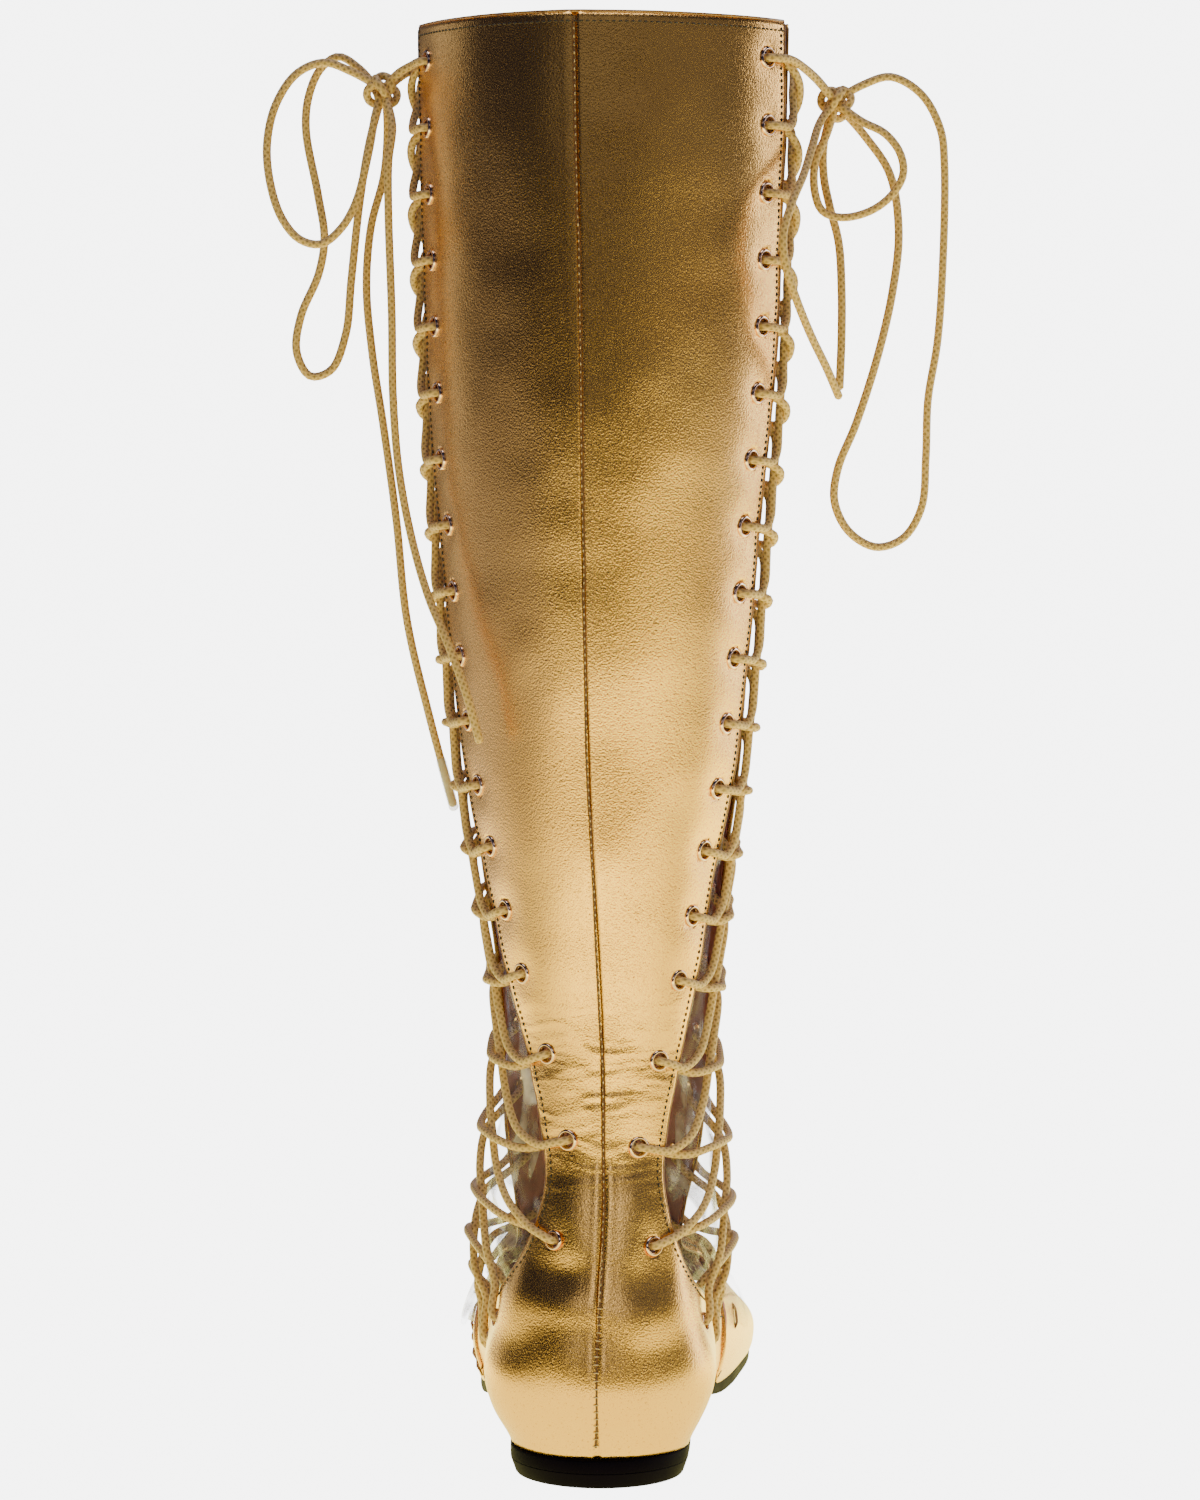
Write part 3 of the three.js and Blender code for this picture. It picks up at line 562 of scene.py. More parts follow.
def clear_vinyl():
    """Clear vinyl: see-through, with white streaks painted along its creases as highlights."""
    material, tree, shader = new_material("clear_vinyl_film", Metallic=0.0, IOR=1.5, Specular_IOR_Level=1.0)
    smudge = use_group(tree, BLOTCH, {"Size": 0.012, "Contrast": 1.8})
    drawn_out = add_node(tree, "Mapping", {"Vector": object_place(tree), "Scale": (1.0, 1.0, 0.4),
                                           "Rotation": (0.5, 0.4, 0.0)})
    creases = add_node(tree, "TexNoise", {"Vector": drawn_out.outputs["Vector"], "Scale": 75.0, "Detail": 0.5,
                                          "Distortion": 0.9})
    # Painted highlight: where the stretched noise peaks, the film turns white and less clear, standing in for
    # glints along its creases.
    painted_glint_streak = add_node(tree, "MapRange", {"Value": creases.outputs["Fac"], "From Min": 0.59, "From Max": 0.64})
    painted_glint_streak = maths(tree, "MULTIPLY", painted_glint_streak.outputs["Result"], smudge["Tone"])
    clear = ramp(tree, smudge["Tone"], [(0.2, (0.17, 0.14, 0.19)), (0.8, (0.32, 0.27, 0.35))])
    tree.links.new(mix_colours(tree, painted_glint_streak, clear, (1.0, 0.92, 1.0)), shader.inputs["Base Color"])
    tree.links.new(linear(tree, smudge["Tone"], slope=0.08, start=0.03), shader.inputs["Roughness"])
    edge_on = add_node(tree, "LayerWeight", {"Blend": 0.3}).outputs["Facing"]
    film = linear(tree, edge_on, slope=0.16, start=0.03)
    cover = linear(tree, painted_glint_streak, slope=0.7, start=film, clamp=True)
    tree.links.new(cover, shader.inputs["Alpha"])
    bump(tree, shader, creases.outputs["Fac"], strength=0.35, distance=0.001)
    return material


BRAID_STRANDS = 4
BRAID_PITCH = 2.3


def braided_cord():
    """Waxed cord: a fine braid by turns round the cord and millimetres along it, its grooves painted darker
    as shade.
    """
    material, tree, shader = new_material("waxed_braid", Metallic=0.0, Sheen_Weight=0.1, Sheen_Roughness=0.4)
    uv = add_node(tree, "UVMap", uv_map="UVMap").outputs["UV"]
    parts = add_node(tree, "SeparateXYZ", {"Vector": uv})
    round_cord = maths(tree, "MULTIPLY", parts.outputs["X"], BRAID_STRANDS * 2 * math.pi)
    along_cord = maths(tree, "MULTIPLY", parts.outputs["Y"], 2 * math.pi / BRAID_PITCH)
    left = maths(tree, "SINE", maths(tree, "ADD", round_cord, along_cord))
    right = maths(tree, "SINE", maths(tree, "SUBTRACT", round_cord, along_cord))
    plait = maths(tree, "MAXIMUM", left, right)
    raised = linear(tree, plait, slope=0.5, start=0.5)
    fuzz = add_node(tree, "TexNoise", {"Vector": object_place(tree), "Scale": 2600.0, "Detail": 2.0})
    tone = use_group(tree, BLOTCH, {"Size": 0.01, "Contrast": 1.4})
    # Painted shade: the colour darkens in the grooves between the raised strands, and the fine fuzz varies it
    # at random.
    mixed = linear(tree, fuzz.outputs["Fac"], slope=0.5, start=maths(tree, "MULTIPLY", raised, 0.6))
    colour = ramp(tree, mixed, [(0.25, (0.24, 0.135, 0.05)), (0.85, (0.80, 0.52, 0.22))])
    colour = mix_colours(tree, maths(tree, "MULTIPLY", tone["Tone"], 0.35), colour, (0.58, 0.37, 0.145))
    tree.links.new(colour, shader.inputs["Base Color"])
    tree.links.new(linear(tree, raised, slope=-0.12, start=0.62), shader.inputs["Roughness"])
    bump(tree, shader, mixed, strength=0.7, distance=0.00025)
    return material


def black_rubber():
    """Black moulded rubber: a fine matt texture with a slow uneven tone."""
    material, tree, shader = new_material("black_rubber", Metallic=0.0, Specular_IOR_Level=0.06,
                                          Specular_Tint=(0.75, 0.6, 1.0, 1.0))
    grain = use_group(tree, GRAIN, {"Cell": 0.0006, "Fine": 0.0002})
    tone = use_group(tree, BLOTCH, {"Size": 0.012, "Contrast": 1.6})
    colour = ramp(tree, tone["Tone"], [(0.2, (0.0008, 0.0004, 0.0028)), (0.9, (0.0022, 0.0012, 0.006))])
    tree.links.new(colour, shader.inputs["Base Color"])
    tree.links.new(linear(tree, tone["Tone"], slope=0.2, start=0.5), shader.inputs["Roughness"])
    bump(tree, shader, grain["Height"], strength=0.3, distance=0.00015)
    return material


def eyelet_metal():
    """Pale rose-gold plate with fine handling marks."""
    material, tree, shader = new_material("rose_gold_plate", Metallic=1.0)
    tone = use_group(tree, BLOTCH, {"Size": 0.0015, "Contrast": 1.5})
    colour = ramp(tree, tone["Tone"], [(0.2, (0.72, 0.47, 0.35)), (0.8, (0.90, 0.67, 0.52))])
    tree.links.new(colour, shader.inputs["Base Color"])
    tree.links.new(linear(tree, tone["Tone"], slope=0.10, start=0.07), shader.inputs["Roughness"])
    return material


def sewing_thread(name, dark, light):
    """Twisted thread in its own two tones, laid on the same noise as its bump, so the lower fibres are
    painted darker as shade.
    """
    material, tree, shader = new_material(name, Metallic=0.0, Sheen_Weight=0.2)
    noise = add_node(tree, "TexNoise", {"Vector": object_place(tree), "Scale": 2200.0, "Detail": 1.0})
    fibres = noise.outputs["Fac"]
    # Partly painted shade: the darker tone falls where the bump sinks the fibres.
    tree.links.new(ramp(tree, fibres, [(0.3, dark), (0.7, light)]), shader.inputs["Base Color"])
    tree.links.new(linear(tree, fibres, slope=0.2, start=0.5), shader.inputs["Roughness"])
    bump(tree, shader, fibres, strength=0.5, distance=0.0001)
    return material


def clear_tip():
    """The clear shrunk tip on a lace's end."""
    material, tree, shader = new_material("clear_tip_film", Metallic=0.0, IOR=1.45)
    tone = use_group(tree, BLOTCH, {"Size": 0.003, "Contrast": 1.5})
    colour = ramp(tree, tone["Tone"], [(0.2, (0.7, 0.66, 0.58)), (0.8, (0.9, 0.87, 0.8))])
    tree.links.new(colour, shader.inputs["Base Color"])
    tree.links.new(linear(tree, tone["Tone"], slope=0.1, start=0.08), shader.inputs["Roughness"])
    tree.links.new(linear(tree, tone["Tone"], slope=0.2, start=0.35), shader.inputs["Alpha"])
    return material


GOLD = gold_leather()
LINING = lining_leather()
EDGE = edge_paint()
VINYL = clear_vinyl()
LACE = braided_cord()
RUBBER = black_rubber()
PLATE = eyelet_metal()
# The dark thread is near-black partly as its own colour and partly as painted shade of the stitch holes.
DARK_THREAD = sewing_thread("dark_thread", (0.006, 0.003, 0.002), (0.03, 0.013, 0.007))
BROWN_THREAD = sewing_thread("brown_thread", (0.05, 0.018, 0.007), (0.20, 0.08, 0.03))
PALE_THREAD = sewing_thread("pale_thread", (0.45, 0.30, 0.16), (0.80, 0.62, 0.40))
TIP = clear_tip()


# ---------------------------------------------------------------- mesh building
def new_piece(name, points, faces, material, replaces=(), uvs=None):
    """A smooth mesh piece from points in millimetres, riding on the one body."""
    mesh = bpy.data.meshes.new(name)
    mesh.from_pydata((np.asarray(points) * MM).tolist(), [], [list(map(int, face)) for face in faces])
    if uvs is not None:
        layer = mesh.uv_layers.new(name="UVMap")
        layer.data.foreach_set("uv", np.asarray(uvs, np.float32).ravel())
    mesh.polygons.foreach_set("use_smooth", [True] * len(mesh.polygons))
    mesh.materials.append(material)
    mesh.update()
    piece = bpy.data.objects.new(name, mesh)
    bpy.context.collection.objects.link(piece)
    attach(piece, "root")
    if replaces:
        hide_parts(*replaces)
    return piece


CAP_WIDTH = 0.6  # a tube's rounded end, in shares of its radius
CAP_REACH = 0.5
CAP_TIP = 0.65
CORD_SIDES = 10
TUBE_TOP = (0.3, 0.2, 0.93)  # the way that a tube's first ring is turned


def tube_mesh(path, radius, sides=CORD_SIDES):
    """A round tube along a path with rounded ends; its UV is turns round and millimetres along."""
    path = np.asarray(path, float)
    count = len(path)
    radius = np.broadcast_to(np.asarray(radius, float), count)
    ahead = unit(np.gradient(path, axis=0))
    across = np.zeros_like(path)
    start = np.cross(ahead[0], TUBE_TOP)
    for i in range(count):
        start = start - ahead[i] * np.dot(start, ahead[i])
        start = start / max(np.linalg.norm(start), 1e-9)
        across[i] = start
    other = np.cross(ahead, across)
    angle = 2 * np.pi * np.arange(sides) / sides
    ring = np.cos(angle)[None, :, None] * across[:, None] + np.sin(angle)[None, :, None] * other[:, None]
    rings = path[:, None] + ring * radius[:, None, None]
    caps = []
    for end, sign in ((0, -1), (count - 1, 1)):
        past = sign * ahead[end] * radius[end] * CAP_REACH
        caps.append(path[end] + ring[end] * radius[end] * CAP_WIDTH + past)
    rings = np.concatenate([caps[0][None], rings, caps[1][None]])
    tips = [path[0] - ahead[0] * radius[0] * CAP_TIP, path[-1] + ahead[-1] * radius[-1] * CAP_TIP]
    points = np.concatenate([rings.reshape(-1, 3), tips])
    lengths = arc_lengths(path)
    lengths = np.concatenate([[lengths[0] - 1], lengths, [lengths[-1] + 1]])
    faces = []
    uvs = []
    total = len(rings)
    for j in range(total - 1):
        for k in range(sides):
            after = (k + 1) % sides
            faces.append((j * sides + k, j * sides + after, (j + 1) * sides + after, (j + 1) * sides + k))
            low = lengths[j]
            high = lengths[j + 1]
            uvs += [(k / sides, low), ((k + 1) / sides, low), ((k + 1) / sides, high), (k / sides, high)]
    for k in range(sides):
        after = (k + 1) % sides
        faces.append((total * sides, after, k))
        uvs += [(0, lengths[0]), (after / sides, lengths[0]), (k / sides, lengths[0])]
        top = (total - 1) * sides
        faces.append((total * sides + 1, top + k, top + after))
        uvs += [(0, lengths[-1]), (k / sides, lengths[-1]), (after / sides, lengths[-1])]
    return points, faces, uvs


def join_meshes(parts):
    """Several (points, faces, uvs) as one."""
    points = []
    faces = []
    uvs = []
    offset = 0
    for part_points, part_faces, part_uvs in parts:
        points.append(part_points)
        faces += [tuple(i + offset for i in face) for face in part_faces]
        uvs += part_uvs
        offset += len(part_points)
    return np.concatenate(points), faces, uvs


def tube_piece(name, paths, radius, material, replaces=(), sides=CORD_SIDES):
    """One piece of one or more tubes."""
    points, faces, uvs = join_meshes([tube_mesh(path, radius, sides) for path in paths])
    return new_piece(name, points, faces, material, replaces, uvs)


def grid_normals(grid):
    """A grid's normals, facing away from the inside of the leg."""
    across = np.gradient(grid, axis=1)
    up = np.gradient(grid, axis=0)
    normal = unit(np.cross(across, up))
    outward = grid - place(0, INSIDE_ALONG, 0)
    outward[..., 2] = 0
    facing = np.sum(normal * outward)
    return normal if facing > 0 else -normal


HOLE_RADIUS = 2.7
HOLE_NEAR = 2.5  # in shares of a hole's radius
HOLE_WITHIN = 0.68
HOLE_BEYOND = 1.28


def cut_holes(grid, holes, radius=HOLE_RADIUS):
    """Draws grid points near each hole onto its rim, and marks the ones inside it."""
    rows, columns, _ = grid.shape
    flat = grid.reshape(-1, 3).copy()
    inside = np.zeros(len(flat), bool)
    rim_of = np.full(len(flat), -1)
    for index, (centre, normal) in enumerate(holes):
        away = flat - centre
        near = np.linalg.norm(away, axis=1) < HOLE_NEAR * radius
        level = away - (away @ normal)[:, None] * normal
        far = np.linalg.norm(level, axis=1)
        on_rim = near & (far > HOLE_WITHIN * radius) & (far < HOLE_BEYOND * radius)
        flat[on_rim] += level[on_rim] * (radius / far[on_rim] - 1)[:, None]
        rim_of[on_rim] = index
        inside |= near & (far <= HOLE_WITHIN * radius)
    return flat.reshape(rows, columns, 3), inside, rim_of


def grid_quads(rows, columns):
    """The faces between the points of a grid."""
    index = np.arange(rows * columns).reshape(rows, columns)
    corners = [index[:-1, :-1], index[:-1, 1:], index[1:, 1:], index[1:, :-1]]
    return np.stack(corners, axis=-1).reshape(-1, 4)


EDGE_ROUNDING = 0.3  # in shares of a sheet's thickness
NEXT_ROUNDING = 0.04


def sheet_mesh(grid, normals, outer, inner, holes=()):
    """A closed sheet over a grid between two depths, with rounded edges and its holes cut."""
    rows, columns, _ = grid.shape
    grid, inside, rim_of = cut_holes(grid, holes)
    flat = grid.reshape(-1, 3)
    flat_normals = normals.reshape(-1, 3)
    quads = grid_quads(rows, columns)
    rims = rim_of[quads]
    all_rim = (rims[:, 0] >= 0) & np.all(rims == rims[:, :1], axis=1)
    quads = quads[~(inside[quads].any(axis=1) | all_rim)]
    corner, beside, _, above = quads[0]
    if np.dot(np.cross(flat[beside] - flat[corner], flat[above] - flat[corner]), flat_normals[corner]) < 0:
        quads = quads[:, ::-1]
    edge = np.zeros((rows, columns))
    edge[0] = edge[-1] = edge[:, 0] = edge[:, -1] = 1
    next_in = np.zeros((rows, columns))
    next_in[1:-1, 1] = next_in[1:-1, -2] = next_in[1, 1:-1] = next_in[-2, 1:-1] = 1
    thick = inner - outer
    top = outer + edge * EDGE_ROUNDING * thick + next_in * NEXT_ROUNDING * thick
    bottom = inner - edge * EDGE_ROUNDING * thick
    upper_points = flat - flat_normals * top.reshape(-1, 1)
    lower_points = flat - flat_normals * bottom.reshape(-1, 1)
    count = len(flat)
    directed = set()
    for quad in quads.tolist():
        for a, b in zip(quad, quad[1:] + quad[:1]):
            directed.add((a, b))
    walls = [(b, a, a + count, b + count) for a, b in directed if (b, a) not in directed]
    walls.sort()
    faces = quads.tolist() + (quads[:, ::-1] + count).tolist() + walls
    used = np.unique(np.concatenate([quads.ravel(), quads.ravel() + count]))
    renumber = np.full(2 * count, -1)
    renumber[used] = np.arange(len(used))
    points = np.concatenate([upper_points, lower_points])[used]
    return points, [tuple(renumber[list(face)]) for face in faces]


def surface_tree(grid, normals, lift):
    """A tree over a grid's outer face, to set things down on it."""
    rows, columns, _ = grid.shape
    points = (grid + normals * lift).reshape(-1, 3)
    return BVHTree.FromPolygons([Vector(p) for p in points.tolist()], grid_quads(rows, columns).tolist())


def set_down(tree, points, outward):
    """Each point moved to the nearest place on the surface, with the surface's outward normal there."""
    places = []
    normals = []
    for point, out in zip(points, outward):
        where, normal, _, _ = tree.find_nearest(Vector(point.tolist()))
        normal = np.array(normal)
        places.append(np.array(where))
        normals.append(normal if np.dot(normal, out) > 0 else -normal)
    return np.array(places), unit(np.array(normals))


def smooth_rows(values, passes=2):
    """Rows of vectors evened out with their neighbours."""
    for _ in range(passes):
        padded = np.concatenate([values[:1], values, values[-1:]])
        values = (padded[:-2] + 2 * padded[1:-1] + padded[2:]) / 4
    return values


# ---------------------------------------------------------------- free lace: loops and ends of the two bows
# A strand is its length in metres, what its far end is, and its route. The route's points are out from the
# knot, up from it, and back towards the heel.
BOWS = {
    "lateral": {
        "side": 1,
        "knot": (74.4, 57, 457),
        "strands": {
            "round_loop": (0.156, "object", [
                (0, 0, 0), (2, -8, 4), (4, -20, 6), (8.4, -37, 6.5), (13.5, -45.6, 6.5), (20, -50.5, 6.5),
                (27, -49, 6.5), (33, -42, 6), (37, -30, 5), (38, -17, 4), (35, -4, 3), (28, 6, 2.5),
                (19, 9.5, 2), (10, 6.5, 1.5), (0, 1, 1),
            ]),
            "long_loop": (0.235, "object", [
                (1, 0, -2), (8, 8, -4), (15, 12, -4.5), (21, 8, -5), (25, -1, -5), (26, -12, -5),
                (22, -34, -5), (20, -48, -5), (22, -60, -5), (28, -74, -5), (29.5, -86, -5), (25, -94, -5),
                (18, -92, -5), (13, -80, -5), (11, -62, -4.5), (8, -36, -4), (4.5, -16, -3), (0, 0, -2),
            ]),
            "long_end": (0.242, "fitting", [
                (-1, -1, -3), (-1, -13, -7.6), (0.4, -27, -10), (4.8, -44, -10), (6.4, -64, -10),
                (4.6, -86, -10), (1, -110, -10), (-3.4, -142, -9), (-7, -176, -8), (-14.5, -208, -6.5),
                (-22.5, -238, -6),
            ]),
            "short_end": (0.224, "bare", [
                (-1, -1, 2), (-4, -12, 8), (-3, -24, 12), (-3, -40, 13), (-4, -74, 13), (-4.4, -101, 14),
                (-6.4, -125, 16), (-11, -148, 20), (-17, -167, 26.5), (-24, -182, 34.5),
                (-30.2, -198, 39.8), (-34.5, -213, 41.5),
            ]),
        },
    },
    "medial": {
        "side": -1,
        "knot": (76.2, 58, 453),
        "strands": {
            "round_loop": (0.105, "object", [
                (1, -1, 2), (8.5, -6.5, 4.5), (16, -10.5, 6), (21, -17, 6.5), (22, -24, 6.5), (18, -31, 6.5),
                (11, -36, 6.5), (2, -38, 6.5), (-4.4, -36, 6.5), (-7, -30, 6.5), (-7, -20, 6), (-3, -10, 3),
                (0, 0, 1),
            ]),
            "long_loop": (0.355, "object", [
                (0, 1, 0), (9, 6, 0), (18, 8.5, 0), (28, 3, -1), (34.5, -8.4, -2), (36, -20, -3),
                (35.5, -57, -3), (34, -79, -3), (31, -98, -3), (30.4, -117, -3), (29, -134, -3),
                (23, -144, -3), (14, -147, -2), (5, -142, -1), (0, -132, 0), (1, -121, 0), (7, -106, 0),
                (14, -84, -1), (19, -62, -2), (21, -42, -4), (18, -23, -6), (10, -11, -5), (1, -1, -2),
            ]),
            "long_end": (0.095, "bare", [
                (-1, -1, -1), (-4, -13, -2), (-4, -24, -2), (-2, -34, -1), (1, -46, 0), (2, -62, 2),
                (2, -78, 3), (1.4, -94, 4),
            ]),
            "short_end": (0.122, "bare", [
                (-1, 0, 2), (-5.5, -7, 8), (-8, -15, 16), (-11, -25, 25), (-15, -35, 32.5),
                (-17.6, -45, 36.5), (-17, -54, 36.5), (-13.5, -65, 33), (-8.5, -77, 26), (-3, -88, 19),
                (1, -97, 13),
            ]),
        },
    },
}
FREE_LACE_STEP = 1.8
TIP_LENGTH = 16
TIP_RINGS = 12
TIP_WALL = 0.28
TIP_WALL_AT_START = 0.1
TIP_PAST_END = 1.2
KNOT_ROUND = 3.5
KNOT_WEAVE = 1.75
KNOT_DEPTH = 1.9
KNOT_LEAN = 25
COLLAR_SIZE = (2.2, 4.3, 3.4)
COLLAR_LIFT = 1
COLLAR_TURN = 1.7


def knot_centre(bow):
    out, along, height = bow["knot"]
    return place(bow["side"] * out, along, height)


def strand_path(bow, route):
    turn = np.array(route, float)[:, [0, 2, 1]] * (bow["side"], 1, 1)
    return smooth_path(knot_centre(bow) + turn, FREE_LACE_STEP)


def lace_tip(name, path):
    """A clear sleeve shrunk round the end of a lace."""
    end = arc_lengths(path)[-1]
    sleeve = along_path(path, np.linspace(end - TIP_LENGTH, end + 0.01, TIP_RINGS))
    sleeve[-1] += unit(path[-1] - path[-2]) * TIP_PAST_END
    radius = np.full(TIP_RINGS, CORD / 2 + TIP_WALL)
    radius[0] = CORD / 2 + TIP_WALL_AT_START
    return tube_piece(name, [sleeve], radius, TIP, sides=14)


def tie_strands(name, bow):
    """A bow's loops and ends, each a free cord."""
    for strand, (length, far_end, route) in bow["strands"].items():
        path = strand_path(bow, route)
        piece = tube_piece(f"lace_{strand}_{name}_cord", [path], CORD / 2, LACE,
                           [f"lace_{strand}_{name}"])
        on_it = [lace_tip(f"lace_tip_{name}", path)] if far_end == "fitting" else []


def tie_knot(name, bow):
    """A small tight knot: the lace woven through itself, with one more turn round it."""
    turn = np.linspace(0, 2 * np.pi, 120)
    ring = KNOT_ROUND + KNOT_WEAVE * np.cos(3 * turn)
    weave = KNOT_DEPTH * np.sin(3 * turn)
    wound = np.stack([ring * np.cos(2 * turn), weave, ring * np.sin(2 * turn)], axis=1)
    lean = math.radians(KNOT_LEAN * bow["side"])
    spin = np.array([[math.cos(lean), 0, -math.sin(lean)], [0, 1, 0], [math.sin(lean), 0, math.cos(lean)]])
    path = knot_centre(bow) + wound @ spin
    around = np.linspace(0, COLLAR_TURN * np.pi, 40)
    wide, deep, tall = COLLAR_SIZE
    up = tall * np.cos(around) + COLLAR_LIFT
    collar = np.stack([wide * np.cos(around), deep * np.sin(around), up], axis=1)
    second = knot_centre(bow) + collar * (bow["side"], 1, 1)
    tube_piece(f"lace_knot_{name}_cord", [path, second], CORD / 2, LACE, [f"lace_knot_{name}"])


for side_name, side_bow in BOWS.items():
    tie_strands(side_name, side_bow)
    tie_knot(side_name, side_bow)


# ---------------------------------------------------------------- edges, rails and the span between them
def edge_frame(surface, across, share, inner_across, inner_share):
    """A panel edge as points, the way off it, its outward normal and its running length."""
    point = surface(across, share)
    within = surface(inner_across, inner_share)
    ahead = unit(np.gradient(point, axis=0))
    off = point - within
    off = unit(off - np.sum(off * ahead, axis=1, keepdims=True) * ahead)
    normal = unit(np.cross(off, ahead))
    outward = point - place(0, INSIDE_ALONG, 0)
    outward[:, 2] = np.maximum(0, LOW_EDGE - np.abs(point[:, 2]))
    if np.sum(normal * outward) < 0:
        normal = -normal
    return {"point": point, "off": off, "normal": normal, "ahead": ahead, "lengths": arc_lengths(point)}


def side_edge(surface, side, start, end, samples=500):
    shares = np.linspace(start, end, samples)
    edge = np.full(samples, float(side))
    return edge_frame(surface, edge, shares, edge * (1 - EDGE_STEP), shares)


def end_edge(surface, share, inner_share, samples=300):
    across = np.linspace(-1, 1, samples)
    level = np.full(samples, float(share))
    return edge_frame(surface, across, level, across, np.full(samples, float(inner_share)))


def frame_at(edge, distances):
    """An edge's point and directions at the distances along it."""
    found = {}
    for name in ("point", "off", "normal", "ahead"):
        columns = [np.interp(distances, edge["lengths"], edge[name][:, k]) for k in range(3)]
        found[name] = np.stack(columns, axis=1)
        if name != "point":
            found[name] = unit(found[name])
    return found


VAMP_RAIL_END = share_of_section(6.6)
SPAN_PULL = 0.9
RAILS = {
    name: {
        "back": side_edge(back_surface, side, 1, share_of_level(BACK_RAIL_FOOT)),
        "front": side_edge(front_surface, side, 1, VAMP_RAIL_END),
    }
    for name, side in (("lateral", 1), ("medial", -1))
}


def eyelet_shares(rail):
    """Where the eyelets sit down a rail, as shares of its length."""
    distances = [FIRST_EYELET - EYELET_RUNS[0][1]]
    for count, pitch in EYELET_RUNS:
        for _ in range(count):
            distances.append(distances[-1] + pitch)
    return np.array(distances[1:]) / rail["lengths"][-1]


def span(rails, share, across):
    """Points between the two rails, from 0 at the back edge to 1 at the front edge, and their normals."""
    share, across = np.broadcast_arrays(np.atleast_1d(share), np.atleast_1d(across))
    back = frame_at(rails["back"], share * rails["back"]["lengths"][-1])
    front = frame_at(rails["front"], share * rails["front"]["lengths"][-1])
    pull = np.linalg.norm(back["point"] - front["point"], axis=1)[:, None] * SPAN_PULL
    t = across[:, None]
    t2 = t * t
    t3 = t2 * t
    point = back["point"] * (2 * t3 - 3 * t2 + 1) + back["off"] * (t3 - 2 * t2 + t) * pull
    point = point + front["point"] * (3 * t2 - 2 * t3) - front["off"] * (t3 - t2) * pull
    normal = unit(back["normal"] + (front["normal"] - back["normal"]) * t)
    return point + normal * (swell_at(share) * 4 * across * (1 - across))[:, None], normal


# ---------------------------------------------------------------- leather panels
def column_stops(centre, coarse, fine_from, fine):
    """Grid columns from the middle to one edge, mirrored: fine by the seam and by the eyelets."""
    half = list(centre)
    half += list(np.linspace(half[-1], fine_from, coarse + 1)[1:])
    half += list(np.linspace(fine_from, 1, fine + 1)[1:])
    half = np.array(half)
    return np.concatenate([-half[:0:-1], half])


def grid_of(surface, across, shares):
    wide, tall = np.meshgrid(across, shares)
    return surface(wide.ravel(), tall.ravel()).reshape(len(shares), len(across), 3)


def even_shares(surface, count):
    """Shares that space the rows of a surface evenly down its middle."""
    fine = np.linspace(0, 1, 800)
    lengths = arc_lengths(surface(np.zeros(800), fine))
    return np.interp(np.linspace(0, lengths[-1], count), lengths, fine)


SHAFT_INSET = 9.2
ANKLE_INSET = 1.6
ANKLE_SHARES = (0.6, 0.75)
QUARTER_INSET = 3.2
QUARTER_SHARES = (0.79, 0.86)


def eyelet_inset(share):
    """How far in from the edge the eyelets sit, growing at the ankle and again on the quarters."""
    at_ankle = ANKLE_INSET * smoothstep(share, *ANKLE_SHARES)
    on_quarter = QUARTER_INSET * smoothstep(share, *QUARTER_SHARES)
    return SHAFT_INSET + at_ankle + on_quarter


def eyelet_places(tree, edge, shares):
    """The eyelets set down on the leather, their normals, and the edge's frame beside each."""
    at = frame_at(edge, shares * edge["lengths"][-1])
    wanted = at["point"] - at["off"] * eyelet_inset(shares)[:, None]
    places, normals = set_down(tree, wanted, at["normal"])
    return places, smooth_rows(normals, 1), at


# The relief's heights and reaches.
WIDE_HOLLOWS = 1.5
CLOSE_HOLLOWS = 0.42
LONG_CREASES = 0.24
FINE_CREASES = 0.13
CREASE_WANDER = 7
CREASES_START = 18
CREASES_END = 24
BACK_CREASES = (84, 168)  # levels
FRONT_CREASES = (96, 190)
FRONT_HOLLOW_SHARE = 0.8
FRONT_CREASE_SHARE = 0.7
PUCKER_DEPTH = 0.55
PUCKER_REACH = 6.5
GROOVE_DEPTH = 0.65
GROOVE_WIDTH = 0.75
WELT_HEIGHT = 0.34
WELT_AWAY = 2.3
WELT_WIDTH = 1.3


def soft_relief(points):
    """Slow hollows and swells of leather with long use."""
    wide = lattice_noise(points, size=34, seed=1) - 0.5
    close = lattice_noise(points, size=13, seed=2) - 0.5
    return WIDE_HOLLOWS * wide + CLOSE_HOLLOWS * close


def ankle_creases(points, low, high):
    """Fine level creases between two heights."""
    height = points[:, 2]
    starting = smoothstep(height, low, low + CREASES_START)
    ending = smoothstep(height, high - CREASES_END, high)
    window = starting * (1 - ending)
    wander = CREASE_WANDER * (lattice_noise(points, size=(16, 16, 12), seed=3) - 0.5)
    bent = points + np.stack([0 * wander, 0 * wander, wander], axis=1)
    long_folds = 1 - np.abs(2 * lattice_noise(bent, size=(17, 17, 4.6), seed=4) - 1)
    fine_folds = 1 - np.abs(2 * lattice_noise(bent, size=(8, 8, 2.1), seed=5) - 1)
    return window * (LONG_CREASES * (long_folds**2 - 0.4) + FINE_CREASES * (fine_folds**2 - 0.4))


def eyelet_pucker(points, holes):
    """Leather drawn down round each eyelet."""
    sunk = np.zeros(len(points))
    for centre, _ in holes:
        far = np.linalg.norm(points - centre, axis=1)
        sunk -= PUCKER_DEPTH * np.exp(-((far / PUCKER_REACH) ** 2))
    return sunk


